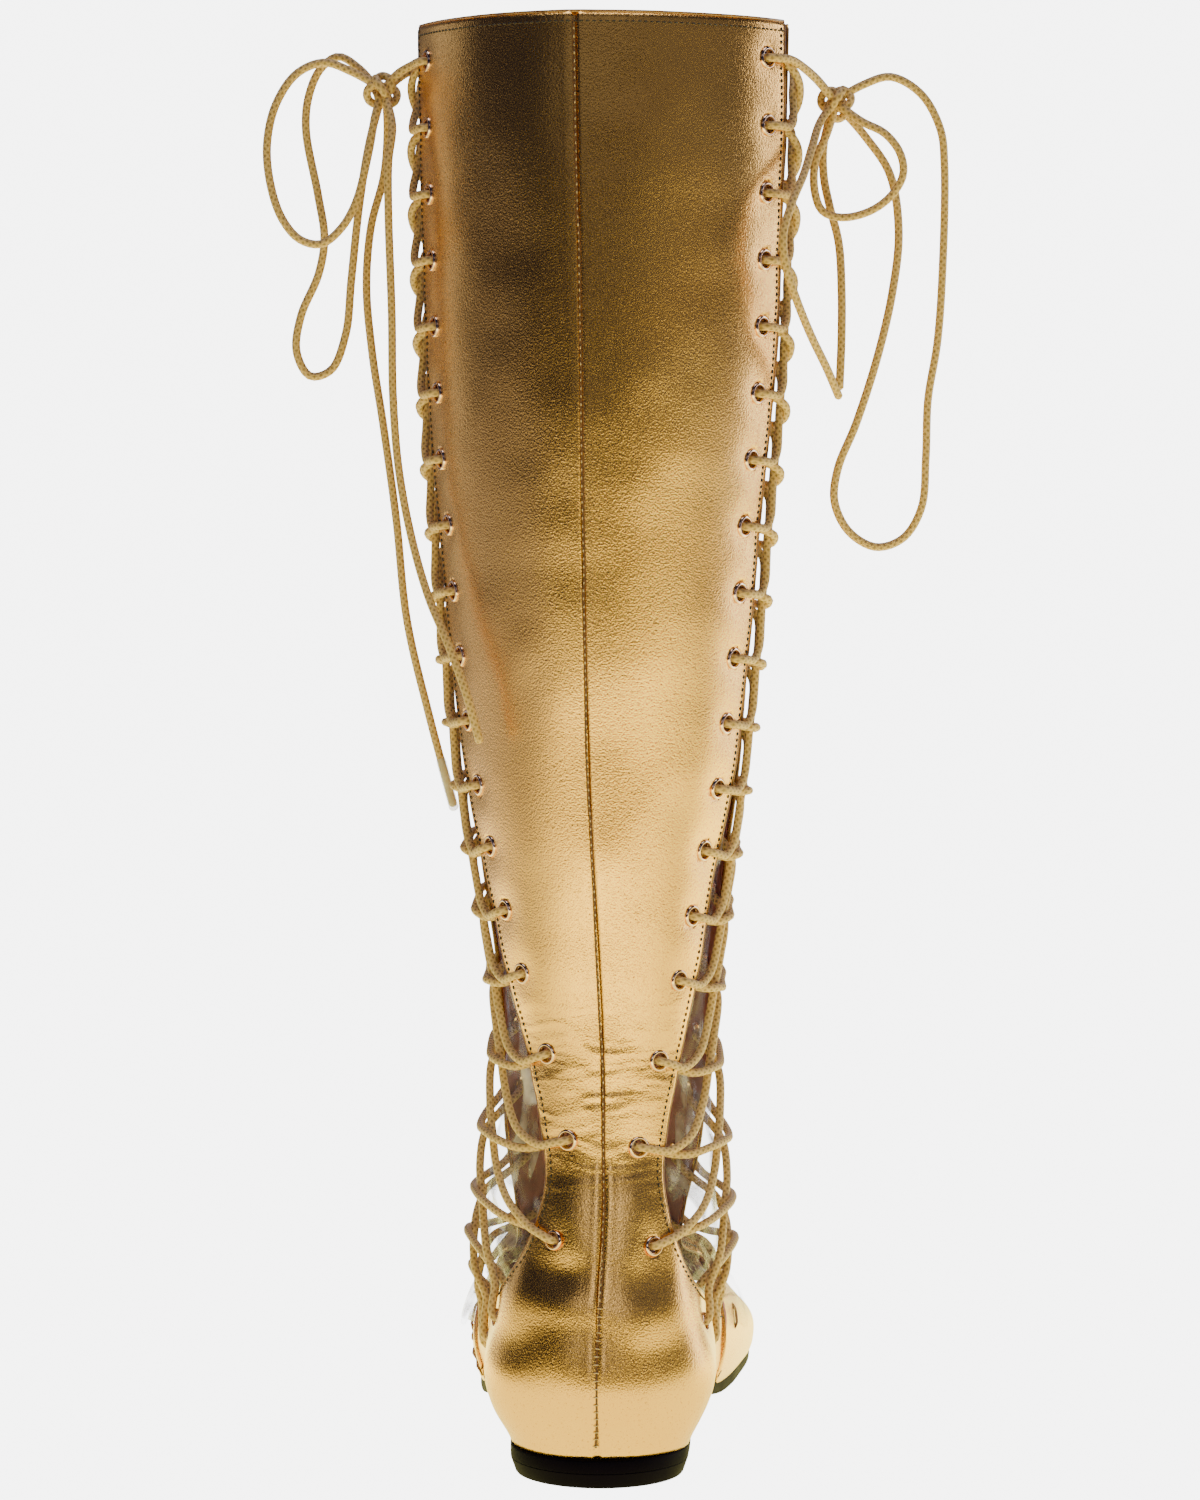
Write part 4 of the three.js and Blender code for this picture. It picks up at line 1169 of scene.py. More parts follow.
def seam_relief(grid):
    """The back seam's groove between two low welts."""
    middle = grid[:, grid.shape[1] // 2][:, None]
    away = np.linalg.norm(grid - middle, axis=2)
    groove = -GROOVE_DEPTH * np.exp(-((away / GROOVE_WIDTH) ** 2))
    welt = WELT_HEIGHT * np.exp(-(((away - WELT_AWAY) / WELT_WIDTH) ** 2))
    return (groove + welt).ravel()


COUNTER_HOLLOWS = table("side height wide tall deep", [
    (15, 70, 11, 7, 2.4), (-15, 68, 10, 8, 1.9), (2, 54, 8, 7, 0.8),
    (-25, 44, 9, 8, 0.8), (27, 46, 9, 8, 0.8),
])
COUNTER_TOP = (66, 92)  # levels, where the counter's dents fade out
COUNTER_FRONT = (60, 95)  # places on the part's own +Y, where its swell and hollows fade in
COUNTER_DENTS = 0.9
COUNTER_SWELL = 2.6
SWELL_LEVEL = 33
SWELL_TALL = 13


def counter_dents(points):
    """Shallow hollows over the stiff heel counter, which swells out again below them."""
    side, back, height = points.T
    window = 1 - smoothstep(height, *COUNTER_TOP)
    relief = window * COUNTER_DENTS * (lattice_noise(points, size=(17, 17, 11), seed=8) - 0.5)
    behind = smoothstep(back, *COUNTER_FRONT)
    relief += behind * COUNTER_SWELL * np.exp(-(((height - SWELL_LEVEL) / SWELL_TALL) ** 2))
    for at_side, at_height, wide, tall, deep in zip(*COUNTER_HOLLOWS.values()):
        near = np.exp(-(((side - at_side) / wide) ** 2) - ((height - at_height) / tall) ** 2)
        relief -= behind * deep * near
    return relief


EYELET_SHARES = {name: eyelet_shares(rails["back"]) for name, rails in RAILS.items()}


def set_eyelets(tree, edges):
    """The eyelets' places down each edge of a surface, and all of them as one list of holes."""
    eyelets = {name: eyelet_places(tree, edge, EYELET_SHARES[name]) for name, edge in edges.items()}
    holes = [hole for places, facing, _ in eyelets.values() for hole in zip(places, facing)]
    return eyelets, holes


class Panel:
    """One leather panel: its grid with relief, its eyelet places and a tree to set things down on."""

    def __init__(self, surface, across, shares, lift, relief, edges):
        base = grid_of(surface, across, shares)
        normals = grid_normals(base)
        _, first_holes = set_eyelets(surface_tree(base, normals, lift), edges)
        height = relief(base, first_holes)
        self.grid = base + normals * height.reshape(base.shape[:2])[..., None]
        self.normals = grid_normals(self.grid)
        self.tree = surface_tree(self.grid, self.normals, lift)
        self.eyelets, self.holes = set_eyelets(self.tree, edges)
        self.lift = lift


def back_relief(base, holes):
    points = base.reshape(-1, 3)
    return (soft_relief(points) + ankle_creases(points, *BACK_CREASES) + eyelet_pucker(points, holes)
            + seam_relief(base) + counter_dents(points))


def front_relief(base, holes):
    points = base.reshape(-1, 3)
    creases = FRONT_CREASE_SHARE * ankle_creases(points, *FRONT_CREASES)
    return soft_relief(points) * FRONT_HOLLOW_SHARE + creases + eyelet_pucker(points, holes)


COUNTER_ROWS = 60
ANKLE_ROWS = 140
ANKLE_LEVELS = (82, 172)
SHAFT_ROWS = 170
FRONT_ROWS = 290
SEAM_COLUMNS = (0, 0.005, 0.01, 0.016, 0.023, 0.032, 0.045)
EYELET_BAND = {"fine_from": 0.80, "fine": 13}


def back_levels():
    """Heights of the back panel's grid rows, closest over the ankle's creases."""
    low, high = ANKLE_LEVELS
    counter = np.linspace(feather(0), low, COUNTER_ROWS)
    ankle = np.linspace(low, high, ANKLE_ROWS)
    shaft = np.linspace(high, TOP, SHAFT_ROWS)
    return np.concatenate([counter, ankle[1:], shaft[1:]])


BACK = Panel(
    surface=back_surface,
    across=column_stops(SEAM_COLUMNS, coarse=20, **EYELET_BAND),
    shares=share_of_level(back_levels()),
    lift=0,
    relief=back_relief,
    edges={name: rails["back"] for name, rails in RAILS.items()},
)
FRONT = Panel(
    surface=front_surface,
    across=column_stops((0,), coarse=22, **EYELET_BAND),
    shares=even_shares(front_surface, FRONT_ROWS),
    lift=VAMP_PROUD,
    relief=front_relief,
    edges={name: rails["front"] for name, rails in RAILS.items()},
)
LEATHER_TO = 1.15  # depths below the outer face
LINING_FROM = 1.2
LINING_TO = 1.65


def panel_pieces(name, panel):
    """The gold leather and the lining behind it."""
    out = -panel.lift
    points, faces = sheet_mesh(panel.grid, panel.normals, out, out + LEATHER_TO, panel.holes)
    new_piece(f"{name}_leather", points, faces, GOLD, ["upper"])
    inner = (slice(1, -1), slice(1, -1))
    points, faces = sheet_mesh(panel.grid[inner], panel.normals[inner], out + LINING_FROM, out + LINING_TO,
                               panel.holes)
    new_piece(f"{name}_lining", points, faces, LINING)


panel_pieces("back_panel", BACK)
panel_pieces("front_panel", FRONT)


# ---------------------------------------------------------------- eyelets
EYELET_PROFILE = [  # radius, height above the leather
    (3.62, -0.15), (3.66, 0.15), (3.56, 0.46), (3.34, 0.68), (3.05, 0.76), (2.78, 0.68), (2.58, 0.46),
    (2.5, 0.12), (2.48, -0.9), (2.5, -1.8), (2.65, -2.05), (3.05, -2.0), (3.2, -1.75), (2.85, -1.68),
    (2.8, -1.0), (2.8, -0.15),
]
EYELET_SIDES = 24
EYELET_TOP = (0.1, 0.2, 0.97)  # the way that an eyelet's first side is turned


def eyelet_mesh(centre, normal):
    """One eyelet: its profile turned round the hole's normal."""
    one = unit(np.cross(normal, EYELET_TOP))
    other = np.cross(normal, one)
    angle = 2 * np.pi * np.arange(EYELET_SIDES) / EYELET_SIDES
    ring = np.cos(angle)[:, None] * one + np.sin(angle)[:, None] * other
    points = np.concatenate([centre + ring * radius + normal * height for radius, height in EYELET_PROFILE])
    faces = []
    rows = len(EYELET_PROFILE)
    for j in range(rows):
        for k in range(EYELET_SIDES):
            a = j * EYELET_SIDES + k
            b = j * EYELET_SIDES + (k + 1) % EYELET_SIDES
            c = ((j + 1) % rows) * EYELET_SIDES + (k + 1) % EYELET_SIDES
            d = ((j + 1) % rows) * EYELET_SIDES + k
            faces.append((a, b, c, d))
    return points, faces, []


for side_name in RAILS:
    rings = []
    for panel in (BACK, FRONT):
        places, facing, _ = panel.eyelets[side_name]
        rings += [eyelet_mesh(centre, normal) for centre, normal in zip(places, facing)]
    ring_points, ring_faces, _ = join_meshes(rings)
    new_piece(f"eyelets_{side_name}", ring_points, ring_faces, PLATE)


# ---------------------------------------------------------------- lacing
OVER_EDGE = 1.95
UNDER_EDGE = -(WALL + CORD / 2 + 0.3)
THROUGH_EYELET = [  # out of the leather, towards the edge
    (-3.1, 1.9), (-1.5, 0.25), (0.3, 0), (1.75, 1.1),
]
OVER_LEATHER = 1.05
PAST_EDGE = [  # across the gap, share of the way up, height, share of the lift
    (0.2, 0.10, 1.9, 0), (0.38, 0.30, 1.9, 0.7), (0.5, 0.5, 1.9, 1), (0.62, 0.68, 1.9, 0.7),
    (0.8, 0.87, 1.2, 0), (0.93, 0.96, -1.2, 0),
]
LIFT_OVER = 1.5
LIFT_UNDER = -0.9
UNDER_ABOVE = 0.1
UNDER_IN = 1.2
RISE_TO_KNOT = 1.5
APART_IN_KNOT = 1.5
BAR_BOW = 1.2
LACED_STEP = 1.5


def eyelet_of(name, edge, n):
    """One eyelet with the place on the edge beside it; edge 0 is the back panel's, edge 1 the front's."""
    panel = BACK if edge == 0 else FRONT
    places, facing, at = panel.eyelets[name]
    return {"place": places[n], "normal": facing[n], "edge": at["point"][n] + at["normal"][n] * panel.lift,
            "edge_normal": at["normal"][n], "off": at["off"][n]}


def out_of_eyelet(eyelet):
    """From inside, through the eyelet and over the panel's edge."""
    hole = eyelet["place"]
    normal = eyelet["normal"]
    points = [hole + normal * out + eyelet["off"] * across for out, across in THROUGH_EYELET]
    halfway = hole * 0.5 + eyelet["edge"] * 0.5
    points.append(halfway + (normal + eyelet["edge_normal"]) * OVER_LEATHER)
    points.append(eyelet["edge"] + eyelet["edge_normal"] * OVER_EDGE)
    return points


def over_gap(rails, low, high, edge, lift):
    """Across the gap from one edge, rising to pass under the other."""
    points = []
    for across, rise, height, lifted in PAST_EDGE:
        share = low + (high - low) * rise
        point, normal = span(rails, share, across if edge == 0 else 1 - across)
        points.append(point[0] + normal[0] * (height + lifted * lift))
    return points


def lacing_strand(name, first_edge):
    """One strand from its lowest eyelet up to the knot, out of one edge and then the other."""
    rails = RAILS[name]
    shares = EYELET_SHARES[name]
    points = []
    edge = first_edge
    for n in range(len(shares) - 1, -1, -1):
        eyelet = eyelet_of(name, edge, n)
        points += out_of_eyelet(eyelet)
        if n == 0:
            break
        lift = LIFT_OVER if (n + first_edge) % 2 else LIFT_UNDER
        points += over_gap(rails, shares[n], shares[n - 1], edge, lift)
        edge = 1 - edge
        above = eyelet_of(name, edge, n - 1)
        depth = UNDER_EDGE + UNDER_ABOVE
        points.append(above["edge"] + above["edge_normal"] * depth - above["off"] * UNDER_IN)
    centre = knot_centre(BOWS[name])
    start = points[-1]
    points.append(start * 0.5 + centre * 0.5 + (0, 0, RISE_TO_KNOT))
    points.append(centre + (0, APART_IN_KNOT * (1 - 2 * first_edge), 0))
    return points


def bottom_bar(name):
    """The lowest crossing, level and inside both edges."""
    ends = [eyelet_of(name, edge, len(EYELET_SHARES[name]) - 1) for edge in (0, 1)]
    under = [end["edge"] + end["edge_normal"] * UNDER_EDGE for end in ends]
    middle = (under[0] + under[1]) / 2 + (ends[0]["edge_normal"] + ends[1]["edge_normal"]) * BAR_BOW
    return [under[0], middle, under[1]]


for side_name in RAILS:
    from_back = lacing_strand(side_name, 0)
    from_front = lacing_strand(side_name, 1)
    whole = from_back[::-1] + bottom_bar(side_name) + from_front
    tube_piece(f"lacing_{side_name}_cord", [smooth_path(whole, LACED_STEP)], CORD / 2, LACE,
               [f"lacing_{side_name}"])


# ---------------------------------------------------------------- vinyl gussets
VINYL_UNDER = 5.1
VINYL_RISE = 2.4
VINYL_THICK = 0.6
GUSSET_ROWS = 170
GUSSET_COLUMNS = 27
GUSSET_SPAN = (0.003, 0.995)
TUCK_DEEP = 11
TUCK_SHALLOW = 5
MOST_TUCK = 0.85
RAIL_SAMPLES = 500
LOOSE_SHARES = (0.6, 0.74)
SHAFT_CREASE = 0.35
ANKLE_CREASE = 1.15
FOLD_HEIGHT = 1.5
RIPPLE_HEIGHT = 0.5


def tucked(surface, side, shares, reach):
    """A line under a panel, that far in from its edge."""
    edge = surface(np.full(len(shares), float(side)), shares)
    within = surface(np.full(len(shares), side * (1 - EDGE_STEP)), shares)
    width = np.linalg.norm(edge - within, axis=1) / EDGE_STEP
    return surface(side * (1 - np.minimum(reach / width, MOST_TUCK)), shares)


def rail_shares(surface, side, start, end, wanted):
    """A surface's shares at wanted parts of the length of its edge."""
    shares = np.linspace(start, end, RAIL_SAMPLES)
    lengths = arc_lengths(surface(np.full(RAIL_SAMPLES, float(side)), shares))
    return np.interp(wanted * lengths[-1], lengths, shares)


def gusset_grid(rails, side, down, across):
    """The film from under the back panel to under the front one: its points, normals and depths."""
    back_at = rail_shares(back_surface, side, 1, share_of_level(BACK_RAIL_FOOT), down)
    front_at = rail_shares(front_surface, side, 1, VAMP_RAIL_END, down)
    columns = [tucked(back_surface, side, back_at, reach) for reach in (TUCK_DEEP, TUCK_SHALLOW)]
    depths = [VINYL_UNDER, VINYL_UNDER]
    normals = []
    for t in across:
        point, normal = span(rails, down, np.full(len(down), t))
        columns.append(point)
        normals.append(normal)
        depths.append(VINYL_UNDER - VINYL_RISE * 4 * t * (1 - t))
    columns += [tucked(front_surface, side, front_at, reach) for reach in (TUCK_SHALLOW, TUCK_DEEP)]
    depths += [VINYL_UNDER, VINYL_UNDER]
    normals = [normals[0], normals[0], *normals, normals[-1], normals[-1]]
    return np.stack(columns, axis=1), np.stack(normals, axis=1), np.array(depths)


def film_creases(grid, side, down, across):
    """Soft folds in the film, deepest at the ankle and none where it is tucked under the leather."""
    points = grid.reshape(-1, 3)
    loose = SHAFT_CREASE + ANKLE_CREASE * smoothstep(down, *LOOSE_SHARES)
    open_part = np.concatenate([[0, 0.1], np.sin(np.pi * across) ** 0.5 * 0.9 + 0.1, [0.1, 0]])
    folds = 1 - np.abs(2 * lattice_noise(points, size=(11, 11, 8), seed=11 + side) - 1)
    ripples = lattice_noise(points, size=(5, 5, 3.5), seed=14 + side) - 0.5
    relief = FOLD_HEIGHT * (folds**3 - 0.3) + RIPPLE_HEIGHT * ripples
    return relief.reshape(len(down), -1) * loose[:, None] * open_part[None]


def gusset_piece(name, side):
    down = np.linspace(*GUSSET_SPAN, GUSSET_ROWS)
    across = np.linspace(0, 1, GUSSET_COLUMNS)
    grid, facing, depths = gusset_grid(RAILS[name], side, down, across)
    relief = film_creases(grid, side, down, across)
    lifted = grid + facing * (relief - depths[None])[..., None]
    mesh_points, faces = sheet_mesh(lifted, facing, 0, VINYL_THICK)
    new_piece(f"gusset_{name}_film", mesh_points, faces, VINYL, [f"gusset_{name}"])


gusset_piece("lateral", 1)
gusset_piece("medial", -1)


# ---------------------------------------------------------------- stitching and edges
STITCH_PITCH = 2.1
STITCH_SHAPE = table("stop girth rise", [
    (-1, 0.35, -0.4), (-0.6, 0.9, 0.55), (0, 1, 1), (0.6, 0.9, 0.55), (1, 0.35, -0.4),
])
STITCH_SIDES = 6
EDGE_STITCH = {"length": 1.3, "radius": 0.34, "proud": 0.08}
SHAFT_STITCH = {"length": 1.1, "radius": 0.22, "proud": 0.1}
HEEL_STITCH = {"length": 2.4, "radius": 0.2, "proud": 0.15}
SIDE_STITCH_INSET = 2.4
COLLAR_STITCH_INSET = 3.2
BACK_STITCH_FOOT = 12  # level
VAMP_STITCH_END = share_of_section(5.2)
EDGE_BEAD = 0.5
BEAD_STEP = 1.6
BEAD_OUT = 0.08
BEAD_DOWN = 0.6


def stitch_faces():
    """The faces of one stitch, ring by ring, and its two ends."""
    rings = len(STITCH_SHAPE["stop"])
    faces = []
    for j in range(rings - 1):
        for k in range(STITCH_SIDES):
            after = (k + 1) % STITCH_SIDES
            low = j * STITCH_SIDES
            high = low + STITCH_SIDES
            faces.append((low + k, low + after, high + after, high + k))
    last = (rings - 1) * STITCH_SIDES
    return faces + [tuple(range(STITCH_SIDES - 1, -1, -1)), tuple(range(last, last + STITCH_SIDES))]


def stitch_meshes(places, normals, ahead, length, radius, proud):
    """Short rounded stitches, each dipping into the leather at both ends."""
    stops = STITCH_SHAPE["stop"] * length / 2
    girth = STITCH_SHAPE["girth"] * radius
    rise = STITCH_SHAPE["rise"] * proud
    angle = 2 * np.pi * np.arange(STITCH_SIDES) / STITCH_SIDES
    across = unit(np.cross(ahead, normals))
    centre = places[:, None] + ahead[:, None] * stops[None, :, None]
    centre = centre + normals[:, None] * rise[None, :, None]
    ring = np.cos(angle)[None, None, :, None] * across[:, None, None]
    ring = ring + np.sin(angle)[None, None, :, None] * normals[:, None, None]
    points = centre[:, :, None] + ring * girth[None, :, None, None]
    each = len(stops) * STITCH_SIDES
    one = stitch_faces()
    faces = [tuple(i + each * n for i in face) for n in range(len(places)) for face in one]
    return points.reshape(-1, 3), faces, []


def row_along(edge, tree, inset, pitch, margin=1.5):
    """Places in a row beside an edge, set down on the leather."""
    distances = np.arange(margin, edge["lengths"][-1] - margin, pitch)
    at = frame_at(edge, distances)
    places, normals = set_down(tree, at["point"] - at["off"] * inset, at["normal"])
    return places, normals, unit(np.gradient(places, axis=0))


def stitched_rows(name, panel, rows):
    parts = []
    for edge, inset in rows:
        places, normals, ahead = row_along(edge, panel.tree, inset, STITCH_PITCH)
        parts.append(stitch_meshes(places, normals, ahead, **EDGE_STITCH))
    points, faces, _ = join_meshes(parts)
    new_piece(name, points, faces, DARK_THREAD)


def painted_edges(name, panel, edges):
    """The painted cut edge as a thin bead."""
    paths = []
    for edge in edges:
        distances = np.arange(0, edge["lengths"][-1], BEAD_STEP)
        at = frame_at(edge, distances)
        places, _ = set_down(panel.tree, at["point"], at["normal"])
        lip = places + at["off"] * BEAD_OUT - at["normal"] * BEAD_DOWN
        paths.append(smooth_rows(lip, 1))
    tube_piece(name, paths, EDGE_BEAD, EDGE, sides=8)


back_sides = [side_edge(back_surface, side, share_of_level(BACK_STITCH_FOOT), 1) for side in (-1, 1)]
front_sides = [side_edge(front_surface, side, VAMP_STITCH_END, 1) for side in (-1, 1)]
back_collar = end_edge(back_surface, 1, 0.985)
front_collar = end_edge(front_surface, 1, 0.99)
toe_opening = end_edge(front_surface, 0, 0.02)
back_rows = [(edge, SIDE_STITCH_INSET) for edge in back_sides] + [(back_collar, COLLAR_STITCH_INSET)]
front_rows = [(edge, SIDE_STITCH_INSET) for edge in front_sides] + [(front_collar, COLLAR_STITCH_INSET)]
stitched_rows("back_panel_stitches", BACK, back_rows)
stitched_rows("front_panel_stitches", FRONT, front_rows + [(toe_opening, SIDE_STITCH_INSET)])
painted_edges("back_panel_edges", BACK, [*back_sides, back_collar])
painted_edges("front_panel_edges", FRONT, [*front_sides, front_collar, toe_opening])


SEAM_FOOT = 13
SEAM_TOP = 476
SEAM_SAMPLES = 300
SEAM_THREAD_LIFT = 0.12
SEAM_THREAD_RADIUS = 0.4
SEAM_PITCH = 2.6
HEEL_STITCHES_TOP = 62
SHAFT_STITCH_LIFT = 0.36
HEEL_STITCH_LIFT = 0.3


def back_seam():
    """The seam's thread down the groove, pale stitches along the shaft and across the heel."""
    levels = np.linspace(SEAM_FOOT, SEAM_TOP, SEAM_SAMPLES)
    line = back_surface(np.zeros(SEAM_SAMPLES), share_of_level(levels))
    outward = np.tile((0.0, 1.0, 0.0), (SEAM_SAMPLES, 1))
    places, normals = set_down(BACK.tree, line, outward)
    thread = smooth_rows(places + normals * SEAM_THREAD_LIFT, 3)
    tube_piece("back_seam_thread", [thread], SEAM_THREAD_RADIUS, BROWN_THREAD, sides=7)
    lengths = arc_lengths(places)
    stops = np.arange(1.5, lengths[-1] - 1, SEAM_PITCH)
    spots = along_path(places, stops)
    facing = unit(np.stack([np.interp(stops, lengths, normals[:, k]) for k in range(3)], axis=1))
    ahead = unit(np.gradient(spots, axis=0))
    heel = spots[:, 2] < HEEL_STITCHES_TOP
    shaft = ~heel
    crosswise = unit(np.cross(ahead, facing))
    on_shaft = spots[shaft] + facing[shaft] * SHAFT_STITCH_LIFT
    on_heel = spots[heel] + facing[heel] * HEEL_STITCH_LIFT
    parts = [
        stitch_meshes(on_shaft, facing[shaft], ahead[shaft], **SHAFT_STITCH),
        stitch_meshes(on_heel, facing[heel], crosswise[heel], **HEEL_STITCH),
    ]
    points, faces, _ = join_meshes(parts)
    new_piece("back_seam_stitches", points, faces, PALE_THREAD)


back_seam()


# ---------------------------------------------------------------- sole, heel and insole
OUTSOLE_BOTTOM = [  # inset, height above the underside
    (14, 0.25), (4, 0.12), (0.5, 0.02), (0.15, 0.1), (0.1, 0.4),
]
OUTSOLE_TOP = [  # inset, height above the sole's top
    (0.1, -0.8), (0.35, -0.3), (0.9, 0.0), (4, 0), (14, 0),
]
SOCK_LOWER = [  # inset past the insole's own, height above its underside
    (12, 0), (0.5, 0), (0, 0.5),
]
SOCK_UPPER = [  # inset past the insole's own, depth below its top
    (0.1, 0.7), (0.7, 0.1), (3, 0.1), (12, 0.6),
]
HEEL_LAYERS = [  # inset, height
    (10, 0.0), (3.2, 0.0), (2.1, 0.1), (1.7, 0.6), (1.0, 2.6), (0.2, 4.9),
    (0.14, 5.17), (4, 5.17), (10, 5.17),
]


def outline_loop(steps=70):
    """The sole's outline as a closed loop of sideways and along."""
    share = np.arange(steps + 1) / steps
    along = (SOLE_LENGTH / 2) * (1 - np.cos(np.pi * share))
    half = outline_half(along) * round_ends(along)
    middle = outline_middle(along)
    outer = np.stack([middle + half, along], axis=1)
    inner = np.stack([middle - half, along], axis=1)[-2:0:-1]
    return np.concatenate([outer, inner])


def loop_inset(loop, inset):
    """A closed outline moved in by an inset."""
    ahead = unit(np.roll(loop, -1, axis=0) - np.roll(loop, 1, axis=0))
    inward = np.stack([ahead[:, 1], -ahead[:, 0]], axis=1)
    if np.sum(inward * (loop.mean(axis=0) - loop)) < 0:
        inward = -inward
    return loop + inward * inset


def layered_slab(loop, layers):
    """A closed slab through a loop's layers, each an inset and a height for every place along."""
    rings = []
    for inset, height in layers:
        ring = loop_inset(loop, inset)
        rings.append(place(ring[:, 0], ring[:, 1], height(ring[:, 1])))
    count = len(loop)
    points = np.concatenate(rings)
    faces = []
    for j in range(len(rings) - 1):
        for k in range(count):
            after = (k + 1) % count
            faces.append((j * count + k, j * count + after, (j + 1) * count + after, (j + 1) * count + k))
    half = count // 2
    for offset, turned in ((0, True), ((len(rings) - 1) * count, False)):
        for k in range(half):
            quad = [k, k + 1, (count - k - 1) % count, (count - k) % count]
            face = [offset + i for i in dict.fromkeys(quad)]
            faces.append(face[::-1] if turned else face)
    return points, faces


def at_height(function, lift):
    """A surface's height along the sole, raised by a lift."""
    return lambda along: function(along) + lift


def sole_pieces():
    """The rubber outsole, and the sock on the insole above it."""
    loop = outline_loop()
    layers = [(inset, at_height(underside, lift)) for inset, lift in OUTSOLE_BOTTOM]
    layers += [(inset, at_height(sole_top, lift)) for inset, lift in OUTSOLE_TOP]
    points, faces = layered_slab(loop, layers)
    new_piece("outsole_rubber", points, faces, RUBBER, ["outsole"])
    layers = [(INSOLE_INSET + inset, at_height(feather, lift)) for inset, lift in SOCK_LOWER]
    for inset, depth in SOCK_UPPER:
        layers.append((INSOLE_INSET + inset, at_height(feather, INSOLE_THICKNESS - depth)))
    points, faces = layered_slab(loop, layers)
    new_piece("insole_sock", points, faces, LINING, ["insole"])


def heel_piece(steps=40):
    """The low heel block, tapering down, with its lower edge rounded off by wear."""
    share = np.arange(steps + 1) / steps
    along = HEEL_BREAST * (1 - np.cos((np.pi / 2) * share))
    half = outline_half(along) * round_ends(along)
    middle = outline_middle(along)
    outer = np.stack([middle + half, along], axis=1)
    inner = np.stack([middle - half, along], axis=1)[::-1][:-1]
    breast = np.linspace(outer[-1], inner[0], 10)[1:-1]
    loop = np.concatenate([outer, breast, inner])
    layers = [(inset, at_height(np.zeros_like, height)) for inset, height in HEEL_LAYERS]
    points, faces = layered_slab(loop, layers)
    new_piece("heel_rubber", points, faces, RUBBER, ["heel_block"])


sole_pieces()
heel_piece()


# ---------------------------------------------------------------- floor, backdrop and light
# Places in the studio are in metres from the part's origin.
WHITE_TO_SEE = (6.0, 6.0, 6.0)
POOL_GLOW = 6.0
POOL_MIDDLE = -0.3  # on X
CLOSE_MIDDLE = 0.2  # on Y
PALE_TINT = (1.0, 0.98, 1.2)
WARM_TINT = (1.0, 0.94, 0.3)
AIR = (0.016, 0.0165, 0.05)


def light_pool(tree):
    """The painted pool of glow on the floor, a little dimmer right under the heel, and where it is at its
    strongest.
    """
    where = add_node(tree, "SeparateXYZ", {"Vector": object_place(tree)})
    near = eased(tree, where.outputs["Y"], away=0.98, into=0.55, low=0.004)
    beyond = eased(tree, where.outputs["Y"], away=-0.9, into=0.1, low=0.12)
    off_middle = maths(tree, "ABSOLUTE", maths(tree, "ADD", where.outputs["X"], -POOL_MIDDLE))
    wide = eased(tree, off_middle, away=1.3, into=0.5, low=0.12)
    off_heel = maths(tree, "ABSOLUTE", maths(tree, "SUBTRACT", where.outputs["Y"], CLOSE_MIDDLE))
    close = eased(tree, off_heel, away=0.08, into=0.42, low=0.36)
    pool = maths(tree, "MULTIPLY", near, beyond)
    pool = maths(tree, "MULTIPLY", pool, wide)
    strong = linear(tree, pool, slope=2.0, start=-0.3, clamp=True)
    return maths(tree, "MULTIPLY", pool, close), strong


def studio_paper():
    """Pale paper that glows: white to the camera, and a painted pool of warm glow on the floor round the
    sandal, which lights it and shows in its reflections.
    """
    material, tree, shader = new_material("studio_paper", Metallic=0.0, Roughness=0.9, Specular_IOR_Level=0.0,
                                          Base_Color=(0.2, 0.2, 0.2, 1), Emission_Strength=1.0)
    pool, strong = light_pool(tree)
    # Painted light: away from the camera the paper glows in a shaped warm pool, which lights the sandal and
    # shows in its reflections.
    glow = maths(tree, "MULTIPLY", pool, POOL_GLOW)
    seen = add_node(tree, "LightPath").outputs["Is Camera Ray"]
    white = mix_colours(tree, seen, (0.0, 0.0, 0.0), WHITE_TO_SEE)
    shone = maths(tree, "MULTIPLY", glow, maths(tree, "SUBTRACT", 1, seen))
    tint = mix_colours(tree, strong, PALE_TINT, WARM_TINT)
    warm = mix_colours(tree, 1.0, tint, shone, blend="MULTIPLY")
    tree.links.new(mix_colours(tree, 1.0, white, warm, blend="ADD"), shader.inputs["Emission Color"])
    return material


FLOOR_STARTS = 3.4
FLOOR_ENDS = -2.6
SWEEP_ROUND = 1.0
SWEEP_TOP = 4.0
SWEEP_HALF = 5.0


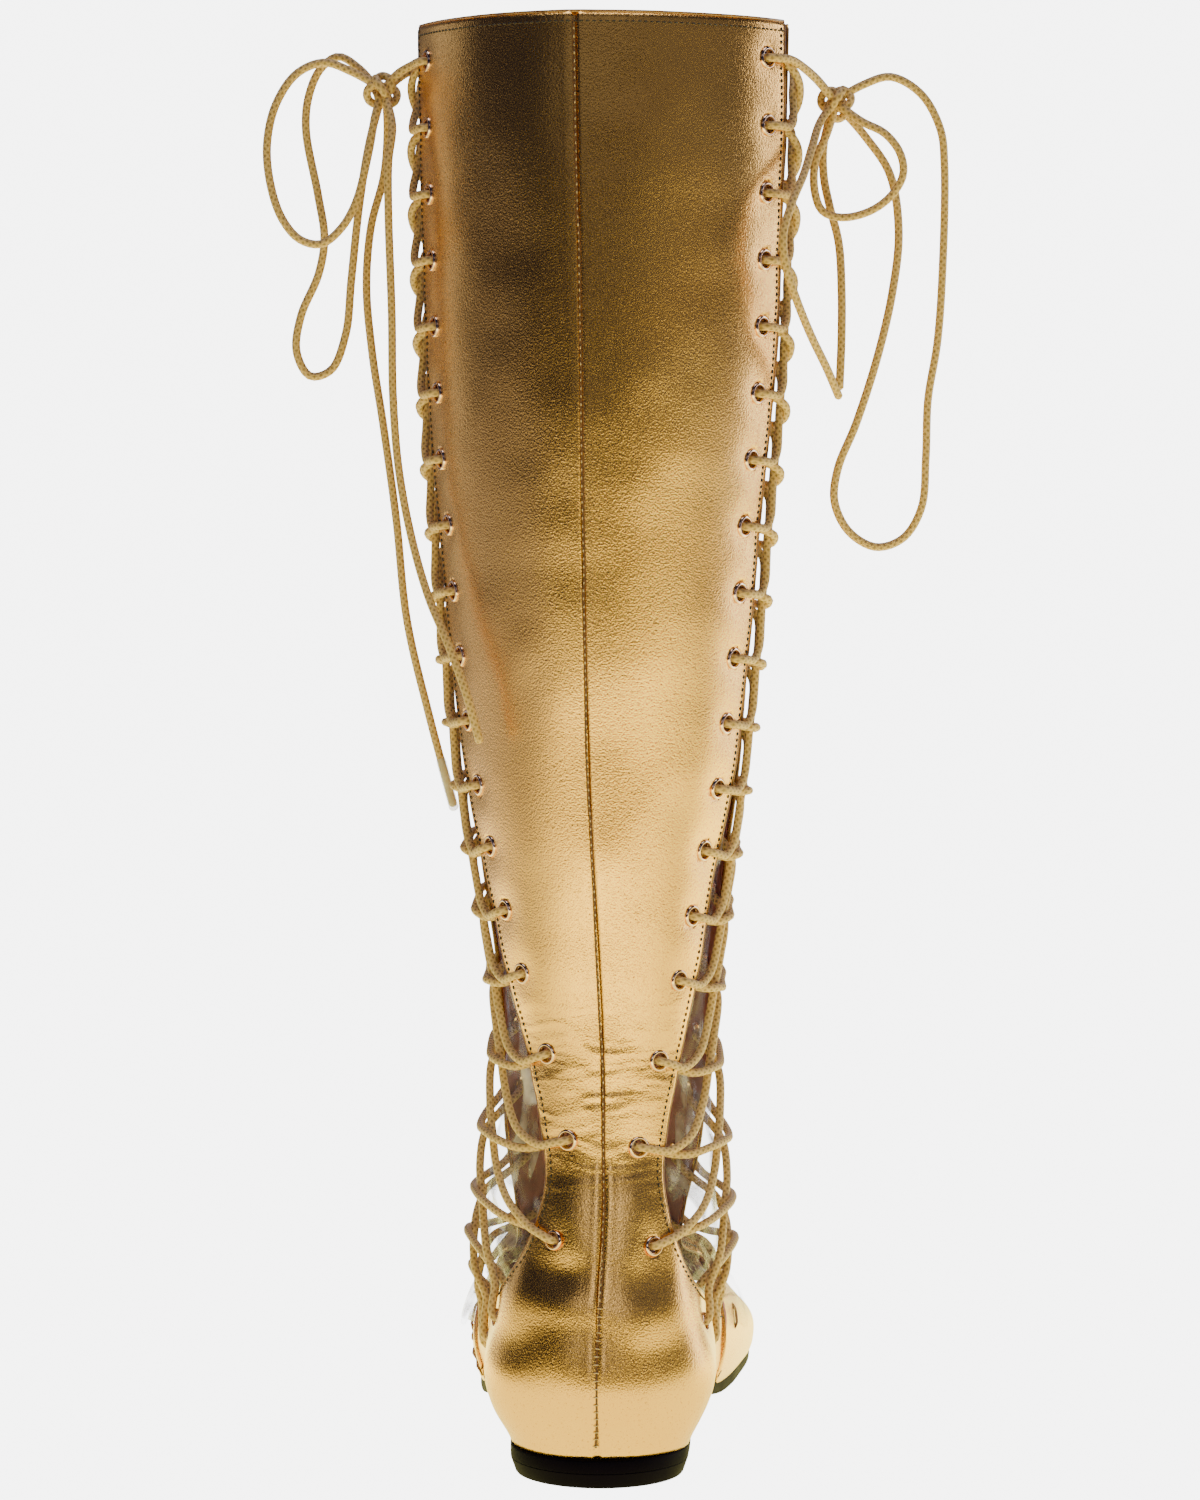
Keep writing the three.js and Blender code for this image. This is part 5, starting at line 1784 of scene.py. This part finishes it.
def studio_sweep():
    """Floor that runs on behind the camera and curves up into a backdrop beyond the toes."""
    profile = [(FLOOR_STARTS, 0.0), (2.0, 0.0), (0.0, 0.0), (FLOOR_ENDS, 0.0)]
    for angle in np.linspace(0, 90, 13)[1:]:
        turn = math.radians(angle)
        rise = SWEEP_ROUND - SWEEP_ROUND * math.cos(turn)
        profile.append((FLOOR_ENDS - SWEEP_ROUND * math.sin(turn), rise))
    profile.append((FLOOR_ENDS - SWEEP_ROUND, SWEEP_TOP))
    points = []
    for y, z in profile:
        points += [(-SWEEP_HALF, y, z), (SWEEP_HALF, y, z)]
    faces = [(2 * i, 2 * i + 1, 2 * i + 3, 2 * i + 2) for i in range(len(profile) - 1)]
    mesh = bpy.data.meshes.new("studio_sweep")
    mesh.from_pydata(points, [], faces)
    mesh.polygons.foreach_set("use_smooth", [True] * len(faces))
    mesh.materials.append(studio_paper())
    sweep = bpy.data.objects.new("studio_sweep", mesh)
    bpy.context.collection.objects.link(sweep)


STUDIO_LIGHTS = [  # name, place, aim, width, height, watts, spread in degrees
    ("side_left", (1.5, -0.7, 0.5), (0, 0, 0.28), 0.4, 1.3, 1.4, 180),
    ("side_right", (-1.5, -0.55, 0.5), (0, 0, 0.28), 0.4, 1.3, 9, 180),
    ("fill", (-1.9, 1.3, 0.8), (0, 0.1, 0.3), 1.6, 1.6, 1, 180),
    ("behind", (0.0, 3.05, 1.58), (0, 0.13, 0.1), 4.5, 1.0, 4, 180),
    ("heel_card", (0.0, 0.65, 0.33), (0, 0.12, 0.085), 0.55, 0.13, 0.045, 50),
    ("overhead", (0, 0.2, 2.6), (0, 0, 0), 2.0, 1.2, 30, 180),
]


def soft_light(name, place_at, aim_at, wide, tall, watts, spread):
    """A flat soft light that the camera doesn't see."""
    data = bpy.data.lights.new(name, "AREA")
    data.shape = "RECTANGLE"
    data.size = wide
    data.size_y = tall
    data.energy = watts
    data.spread = math.radians(spread)
    lamp = bpy.data.objects.new(name, data)
    lamp.location = place_at
    lamp.visible_camera = False
    aim = Vector(aim_at) - Vector(place_at)
    lamp.rotation_euler = aim.to_track_quat("-Z", "Y").to_euler()
    bpy.context.collection.objects.link(lamp)


def studio_light():
    """Dim cool air that looks white, and the soft lights."""
    world = bpy.data.worlds.new("studio_air")
    bpy.context.scene.world = world
    world.use_nodes = True
    tree = world.node_tree
    seen = add_node(tree, "LightPath").outputs["Is Camera Ray"]
    air = mix_colours(tree, seen, AIR, WHITE_TO_SEE)
    tree.links.new(air, tree.nodes["Background"].inputs["Color"])
    for light in STUDIO_LIGHTS:
        soft_light(*light)


studio_sweep()
studio_light()
